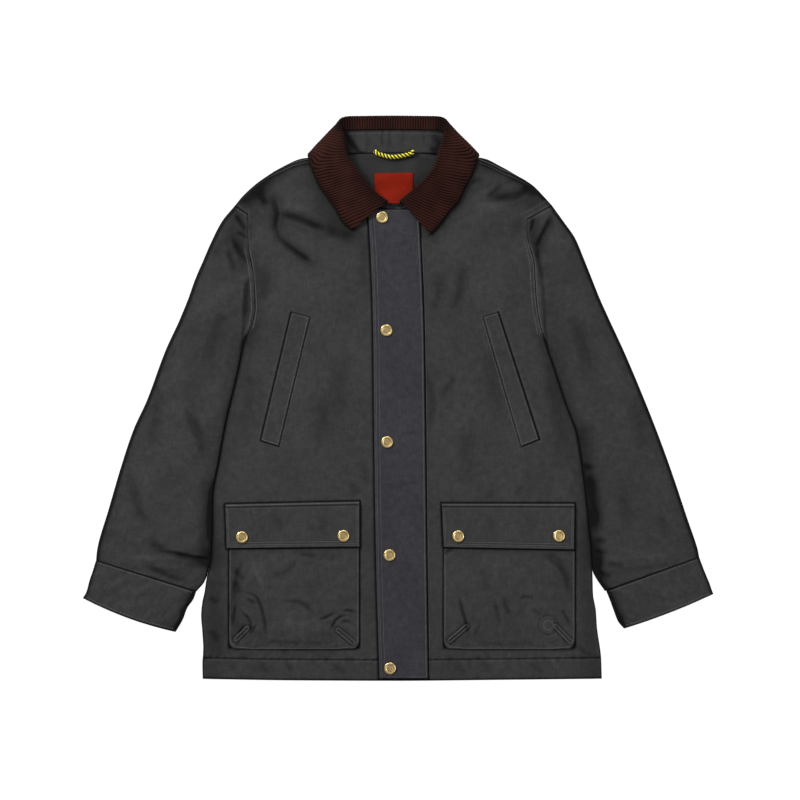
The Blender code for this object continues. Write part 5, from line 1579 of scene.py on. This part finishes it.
def cross_directions(line):
    """Two directions across a line of points, at each of them."""
    run = unit(np.gradient(line, axis=0))
    one = unit(np.cross(run, (0.0, 0.0, 1.0)))
    return one, np.cross(run, one)


def tube(line, radius, sides):
    """Points and faces of a tube along a line of points, closed at its ends."""
    one, two = cross_directions(line)
    turn = (2 * np.pi * np.arange(sides) / sides)[:, None]
    rings = line[:, None] + radius * (np.cos(turn) * one[:, None] + np.sin(turn) * two[:, None])
    points = np.concatenate((rings.reshape(-1, 3), line[:1], line[-1:]))
    last, tip = (len(line) - 1) * sides, len(line) * sides
    faces = ring_faces(len(line), sides)
    for j, k in neighbours(sides):
        faces += [(j, tip, k), (last + j, last + k, tip + 1)]
    return points, faces


def joined(parts):
    """Points and faces of several parts as one."""
    points, faces, offset = [], [], 0
    for part_points, part_faces in parts:
        points.append(part_points)
        faces += [tuple(k + offset for k in face) for face in part_faces]
        offset += len(part_points)
    return np.concatenate(points), faces


LOOP_STRANDS = dict(
    # radius of each strand, its middle off the loop's line, where its two strands start round it
    yellow=(1.4, 1.8, (0.0, math.pi)),
    black=(1.6, 1.75, (0.5 * math.pi, 1.5 * math.pi)),
)


def hang_loop(**finishes):
    """Two yellow strands and two black ones between them, twisted round the loop's line."""
    line = smooth_line(LOOP, 0.7)
    one, two = cross_directions(line)
    made = []
    for colour, (radius, reach, starts) in LOOP_STRANDS.items():
        parts = []
        for start in starts:
            turn = (start + 2 * np.pi * lengths_along(line) / LOOP_LAY)[:, None]
            parts.append(tube(line + reach * (np.cos(turn) * one + np.sin(turn) * two), radius, 8))
        made.append(mesh_object(f"hang_loop_{colour}", *joined(parts), finishes[colour]))
    return made


# ---------------------------------------------------------------- snaps
SNAP_PROFILE = (
    # share of the radius, share of the height, tone
    (0.0, 0.80, 0.05), (0.20, 0.80, 0.05), (0.38, 0.79, 0.0), (0.47, 0.77, -0.1), (0.52, 0.70, -0.55),
    (0.57, 0.70, -0.55), (0.62, 0.80, 0.1), (0.72, 0.88, 0.15), (0.80, 0.92, 0.2), (0.87, 0.88, 0.1),
    (0.93, 0.74, 0.0), (0.98, 0.50, -0.1), (1.0, 0.30, -0.2), (0.98, 0.12, -0.4), (0.93, 0.0, -0.7),
    (0.5, 0.0, -0.7), (0.0, 0.0, -0.7),
)


SNAP_SIDES = 40


def snap(name, x, y, z, finish):
    """A press-stud cap: a rolled rim, a sunk ring and a plain middle."""
    share, tall, tone = np.array(SNAP_PROFILE).T
    turn = 2 * np.pi * np.arange(SNAP_SIDES) / SNAP_SIDES
    r, rise = SNAP_RADIUS * share[1:-1, None], SNAP_HEIGHT * tall
    rings = points_at(x + r * np.cos(turn), y + r * np.sin(turn), z + rise[1:-1, None])
    points = np.concatenate((rings.reshape(-1, 3), [(x, y, z + rise[0]), (x, y, z + rise[-1])]))
    faces = [(a, d, c, b) for a, b, c, d in ring_faces(len(rings), SNAP_SIDES)]
    last, tip = (len(rings) - 1) * SNAP_SIDES, len(rings) * SNAP_SIDES
    for j, k in neighbours(SNAP_SIDES):
        faces += [(tip, j, k), (tip + 1, last + k, last + j)]
    tones = np.concatenate((np.repeat(tone[1:-1], SNAP_SIDES), tone[[0, -1]]))
    return mesh_object(name, points, faces, finish, dict(tone=tones))


# ---------------------------------------------------------------- stitches
STITCH_SECTIONS = ((-0.5, 0.35), (-0.3, 0.95), (0.0, 1.0), (0.3, 0.95), (0.5, 0.35))
STITCH_SIDES = 5
STITCH_SEARCH = 60         # a stitch is dropped on the cloth from here
STEEPEST = 0.3             # and left out where the cloth's upward share is less


def surface_of(made):
    """A piece's surface, to drop stitches on."""
    mesh = made.data
    return BVHTree.FromPolygons([v.co for v in mesh.vertices], [p.vertices for p in mesh.polygons])


def stitch_shape():
    """One stitch as a short thread that dips at both ends, along +X with its middle at 0."""
    length, width, height = (STITCH[key] for key in ("length", "width", "height"))
    points = []
    for share, size in STITCH_SECTIONS:
        rise = height * (0.55 - 1.6 * share**2)
        for side in range(STITCH_SIDES):
            t = math.radians(side * 360 / STITCH_SIDES + 90)
            points.append((share * length, 0.5 * width * size * math.cos(t),
                           rise + 0.5 * width * 0.7 * size * math.sin(t)))
    ends = range(STITCH_SIDES)
    last = len(points) - STITCH_SIDES
    return np.array(points), ring_faces(len(STITCH_SECTIONS), STITCH_SIDES) + [
        tuple(reversed(ends)), tuple(last + k for k in ends)]


def stitches(name, rows, finish):
    """Rows of stitches laid on the cloth under them: each row is a piece and a line."""
    shape, shape_faces = stitch_shape()
    parts, surfaces = [], {}
    for piece, line in rows:
        if piece.name not in surfaces:
            surfaces[piece.name] = surface_of(piece)
        tree = surfaces[piece.name]
        ends = smooth_line(line, STITCH_PITCH)
        for a, b in zip(ends, ends[1:]):
            middle = 0.5 * (a + b)
            above = Vector((middle[0], middle[1], STITCH_SEARCH)) * MM
            hit, normal, _, _ = tree.ray_cast(above, Vector((0, 0, -1)))
            if hit is None or normal.z < STEEPEST:
                continue
            run = Vector((b[0] - a[0], b[1] - a[1], 0))
            run = (run - normal * run.dot(normal)).normalized()
            axes = np.array((run, normal.cross(run), normal))
            parts.append((shape @ axes + np.array(hit) / MM, shape_faces))
    return mesh_object(name, *joined(parts), finish)


def offset_line(points, distance):
    """A line beside another, to its left where the distance is above 0."""
    line = smooth_line(points, LINE_STEP)
    run = unit(np.gradient(line, axis=0))
    return line + distance * np.stack((-run[:, 1], run[:, 0]), axis=1)


def inset_sides(corners, insets):
    """Straight rows inside a four-cornered piece, each a distance in from one side."""
    a, b, c, d = (np.array(p, float) for p in corners)
    sides = dict(top=(a, b, d, c), right=(b, c, a, d), bottom=(d, c, a, b), left=(a, d, b, c))
    rows = []
    for where, distance, start, stop in insets:
        p, q, p_in, q_in = sides[where]
        one, two = p + unit(p_in - p) * distance, q + unit(q_in - q) * distance
        length = np.linalg.norm(two - one)
        rows.append((mix(one, two, start / length), mix(one, two, 1 - stop / length)))
    return rows


def pocket_line(size, inset):
    """Down one side of a pocket, round its foot and up the other side."""
    left, right = size["left"] + inset, size["right"] - inset
    bottom, corner = size["bottom"], size["corner"]
    points = [(left, UNDER_FLAP), (left, bottom + 60), (left, bottom + corner + 3)]
    for t in np.radians((200, 225, 250)):
        points.append((left + corner + (corner - 1) * math.cos(t),
                       bottom + inset + corner + (corner - 1) * math.sin(t)))
    middle = [(mix(left, right, f), bottom + inset - 1.4) for f in (0.15, 0.35, 0.65, 0.85)]
    mirrored = [(left + right - x, y) for x, y in reversed(points)]
    return points + middle + mirrored


def ring_line(x, y, radius):
    """A closed round row."""
    return [(x + radius * math.cos(t), y + radius * math.sin(t)) for t in np.linspace(0, 2 * math.pi, 17)]


# ---------------------------------------------------------------- the whole jacket
def declare(made, nodes):
    """Says what a piece rides on and which nodes it replaces."""
    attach(made, "root")
    if nodes:
        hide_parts(*nodes)
    return made


# Rows of stitches inside the flaps and welts: side, distance in from it, and short of its ends.
FLAP_STITCHES = (("bottom", 5.5, 5, 5), ("bottom", 9.0, 9, 9), ("left", 4.6, 9, 5), ("right", 4.6, 9, 5),
                 ("top", 3.2, 3, 3))
FLAP_GROOVES = (("bottom", 5.5), ("bottom", 9.0), ("left", 5.0), ("right", 5.0))
FLAP_FOLD = 5.6            # where a pocket flap turns down
FLAP_RISE = 0.12           # share of its height over which it climbs on the pocket
WELT_END_STITCHES = (("top", 2.2, 2, 2), ("bottom", 2.2, 2, 2))
WELT_ROW, WELT_GROOVE, BESIDE_WELT = 2.4, 2.6, 1.8
SHOULDER_ROW = 2.4
POCKET_ROW = 2.2
DART_ROW = 2.2
CUFF_ROW, CUFF_EDGE_ROW = 2.4, 4.08      # in from the cuff's seam and from its edge
EMBLEM_ROWS = (0.0, 1.6)                 # in from the emblem's radius
STORM_ROW_ENDS = (-416, 280)
BESIDE_STORM_FLAP = dict(distance=2.2, ends=(-416, 240))
HEM_ENDS = dict(right=(-286, -34), left=(50, 298))

SIDES = dict(
    right=dict(out=-1, seed=11, sewn="right", edge=RIGHT_SIDE, sleeve=RIGHT_SLEEVE, cuff=RIGHT_CUFF,
               pocket=RIGHT_POCKET, flap=RIGHT_FLAP, welt=RIGHT_WELT, front_creases=RIGHT_FRONT_CREASES,
               sleeve_creases=RIGHT_SLEEVE_CREASES, pocket_creases=RIGHT_POCKET_CREASES),
    left=dict(out=1, seed=31, sewn="left", edge=LEFT_SIDE, sleeve=LEFT_SLEEVE, cuff=LEFT_CUFF,
              pocket=LEFT_POCKET, flap=LEFT_FLAP, welt=LEFT_WELT, front_creases=LEFT_FRONT_CREASES,
              sleeve_creases=LEFT_SLEEVE_CREASES, pocket_creases=LEFT_POCKET_CREASES),
)


def cuff_rows(side, rows):
    """The rows of stitches beside a cuff's seam and along its bowed edge."""
    seam_out, seam_in, edge_out, edge_in = (np.array(rows[k][n:n + 2]) for k in (0, -1) for n in (0, 2))
    down = unit(edge_in - seam_in)
    ends = [mix(seam_in, seam_out, f) + CUFF_ROW * down for f in (0.03, 0.97)]
    bow = 4 * CUFF_BOW[side] * down
    return ends, [mix(edge_in, edge_out, f) - CUFF_EDGE_ROW * down + bow * f * (1 - f)
                  for f in np.linspace(0.03, 0.97, 9)]


def build_side(side, cotton, metal, body_rows, sleeve_rows, hem_rows):
    """All that is sewn to one front, and its front and sleeve. Adds its rows of stitches."""
    part = SIDES[side]
    out, seed, sewn = part["out"], part["seed"], part["sewn"]
    panel = front(f"{side}_front_cloth", side, cotton, seed, part["front_creases"],
                  pocket_corners(**part["pocket"]), part["flap"], part["welt"])
    declare(panel, [f"{side}_front"])
    arm = sleeve(f"{side}_sleeve_cloth", side, part["sleeve"], part["edge"], out, part["sleeve_creases"],
                 cotton, seed + 10)
    declare(arm, [f"{side}_sleeve"])
    band = cuff(f"{side}_cuff_cloth", side, part["cuff"], cotton, seed + 14)
    declare(band, [f"{side}_cuff"])
    bag = pocket(f"{side}_pocket_cloth", side, part["pocket"], part["flap"], part["pocket_creases"],
                 cotton, seed + 15)
    declare(bag, [f"{side}_pocket"])
    flap = patch(f"{side}_pocket_flap_cloth", part["flap"], cotton,
                 lambda v: mix(ON_FRONT, FLAP_OVER, ease(v / FLAP_RISE)), FLAP_CREASES[side], seed + 16,
                 FLAP_GROOVES, top_strip=FLAP_FOLD)
    declare(flap, [f"{side}_pocket_flap"])
    welt = patch(f"{side}_welt_cloth", part["welt"], cotton, lambda v: ON_FRONT, (), seed + 17,
                 ((sewn, WELT_GROOVE),), across_step=1.2, faint=sewn)
    declare(welt, [f"{side}_welt"])

    hem_rows.append((panel, [(x, float(curve(HEM)(x)) + HEM_FOLD) for x in np.linspace(*HEM_ENDS[side], 8)]))
    body_rows.append((panel, offset_line(SHOULDER_SEAMS[side], SHOULDER_ROW * out)))
    strip = ARMHOLE_STRIPS[side]
    body_rows += [(panel, offset_line(strip, -out * distance)) for distance in ARMHOLE_ROWS[side]]
    sleeve_rows.append((arm, offset_line(strip, out * SLEEVE_ROWS[side])))
    body_rows.append((bag, pocket_line(part["pocket"], POCKET_ROW)))
    for piece, corners, insets in (
            (flap, part["flap"], FLAP_STITCHES),
            (welt, part["welt"], ((sewn, WELT_ROW, 3, 3), *WELT_END_STITCHES)),
            (panel, part["welt"], ((sewn, -BESIDE_WELT, 1, 1),))):
        body_rows += [(piece, row) for row in inset_sides(corners, insets)]
    body_rows += [(bag, offset_line(dart, DART_ROW)) for dart in DARTS[side]]
    sleeve_rows += [(band, row) for row in cuff_rows(side, part["cuff"])]
    if side == "left":
        body_rows += [(bag, ring_line(EMBLEM["x"], EMBLEM["y"], EMBLEM["radius"] - inset))
                      for inset in EMBLEM_ROWS]
    for k, (x, y) in enumerate(FLAP_SNAPS[side]):
        cap = snap(f"{side}_pocket_snap_{k + 1}_cap", x, y, FLAP_OVER + DOUBLE + SEAM, metal)
        declare(cap, [f"{side}_pocket_snap_{k + 1}"])
    return panel


def build_jacket():
    """Makes and declares every piece."""
    cotton, placket, cord = waxed_cotton("waxed_cotton"), waxed_cotton("placket_cotton"), corduroy()
    lining, label_finish = plain_cloth("lining", 0.7), plain_cloth("label_cloth", 0.6, 0.7)
    thread, dark_thread, metal = yarn("thread"), yarn("dark_thread"), brass()
    yellow, black = yarn("yellow_yarn"), yarn("black_yarn")

    declare(back(cotton), ["back"])
    body_rows, sleeve_rows, hem_rows = [], [], []
    panels = {side: build_side(side, cotton, metal, body_rows, sleeve_rows, hem_rows) for side in SIDES}

    flap = storm_flap(placket)
    declare(flap, ["storm_flap"])
    left_edge, right_edge = storm_edges()
    ys = np.linspace(*STORM_ROW_ENDS, 9)
    for edge, sign, insets in ((left_edge, 1, STORM_ROWS["left"]), (right_edge, -1, STORM_ROWS["right"])):
        body_rows += [(flap, [(float(edge(y)) + sign * inset, y) for y in ys]) for inset in insets]
    body_rows.append((panels["left"], [(float(right_edge(y)) + BESIDE_STORM_FLAP["distance"], y)
                                       for y in np.linspace(*BESIDE_STORM_FLAP["ends"], 9)]))
    for k, (x, y) in enumerate(STORM_SNAPS):
        cap = snap(f"storm_snap_{k + 1}_cap", x, y, ON_FRONT + FLAP_WALL + SEAM, metal)
        declare(cap, [f"storm_snap_{k + 1}"])

    stand, fall = collar(cotton, cord)
    declare(stand, ["collar_stand"])
    declare(fall, ["collar"])
    facing = neck_facing(lining)
    declare(facing, ["neck_facing"])
    tag = label(label_finish)
    declare(tag, ["label"])
    for made, nodes in zip(hang_loop(yellow=yellow, black=black), (["hang_loop"], [])):
        declare(made, nodes)

    declare(stitches("body_stitching", body_rows, thread), [])
    declare(stitches("sleeve_stitching", sleeve_rows, thread), [])
    declare(stitches("hem_stitching", hem_rows, dark_thread), [])


# ---------------------------------------------------------------- floor, lights, camera
FLOOR_SIZE = 12.0          # m
FLOOR_DROP = 0.0006        # the floor lies this much under the jacket, m
FLOOR_GREY = 0.12
FLOOR_GLOW = 0.95          # makes the backdrop white, as in a product shot
WORLD_LIGHT = 0.30
LIGHTS = (
    # name, where it stands in m, its width in m, its power in W
    ("key_light", (-1.9, 1.7, 1.7), 1.0, 120.0),
    ("fill_light", (2.1, -0.6, 2.4), 2.2, 40.0),
    ("top_light", (0.4, 2.6, 1.6), 1.6, 40.0),
)
CAMERA_AT = (0.00285, -0.00195, 3.34)
LENS, SENSOR = 100.0, 36.0


def stage():
    """A white floor, a soft surround, three lamps and a camera straight above."""
    scene = bpy.context.scene
    half = 0.5 * FLOOR_SIZE
    mesh = bpy.data.meshes.new("floor")
    mesh.from_pydata([(-half, -half, 0), (half, -half, 0), (half, half, 0), (-half, half, 0)], [],
                     [(0, 1, 2, 3)])
    finish = bpy.data.materials.new("floor")
    finish.use_nodes = True
    shader = finish.node_tree.nodes["Principled BSDF"]
    shader.inputs["Base Color"].default_value = (FLOOR_GREY, FLOOR_GREY, FLOOR_GREY, 1)
    shader.inputs["Roughness"].default_value = 0.9
    shader.inputs["Specular IOR Level"].default_value = 0.1
    shader.inputs["Emission Color"].default_value = (1, 1, 1, 1)
    shader.inputs["Emission Strength"].default_value = FLOOR_GLOW
    mesh.materials.append(finish)
    floor = added("floor", mesh)
    floor.location.z = -FLOOR_DROP

    scene.world = bpy.data.worlds.new("world")
    scene.world.use_nodes = True
    surround = scene.world.node_tree.nodes["Background"]
    surround.inputs["Color"].default_value = (1, 1, 1, 1)
    surround.inputs["Strength"].default_value = WORLD_LIGHT
    for name, place, size, power in LIGHTS:
        data = bpy.data.lights.new(name, "AREA")
        data.shape, data.size, data.energy = "DISK", size, power
        lamp = added(name, data)
        lamp.location = place
        lamp.rotation_mode = "QUATERNION"
        lamp.rotation_quaternion = (-Vector(place)).to_track_quat("-Z", "Y")

    data = bpy.data.cameras.new("camera")
    data.lens, data.sensor_width = LENS, SENSOR
    camera = added("camera", data)
    camera.location = CAMERA_AT
    scene.camera = camera
    scene.view_settings.view_transform = "Standard"


stage()
build_jacket()
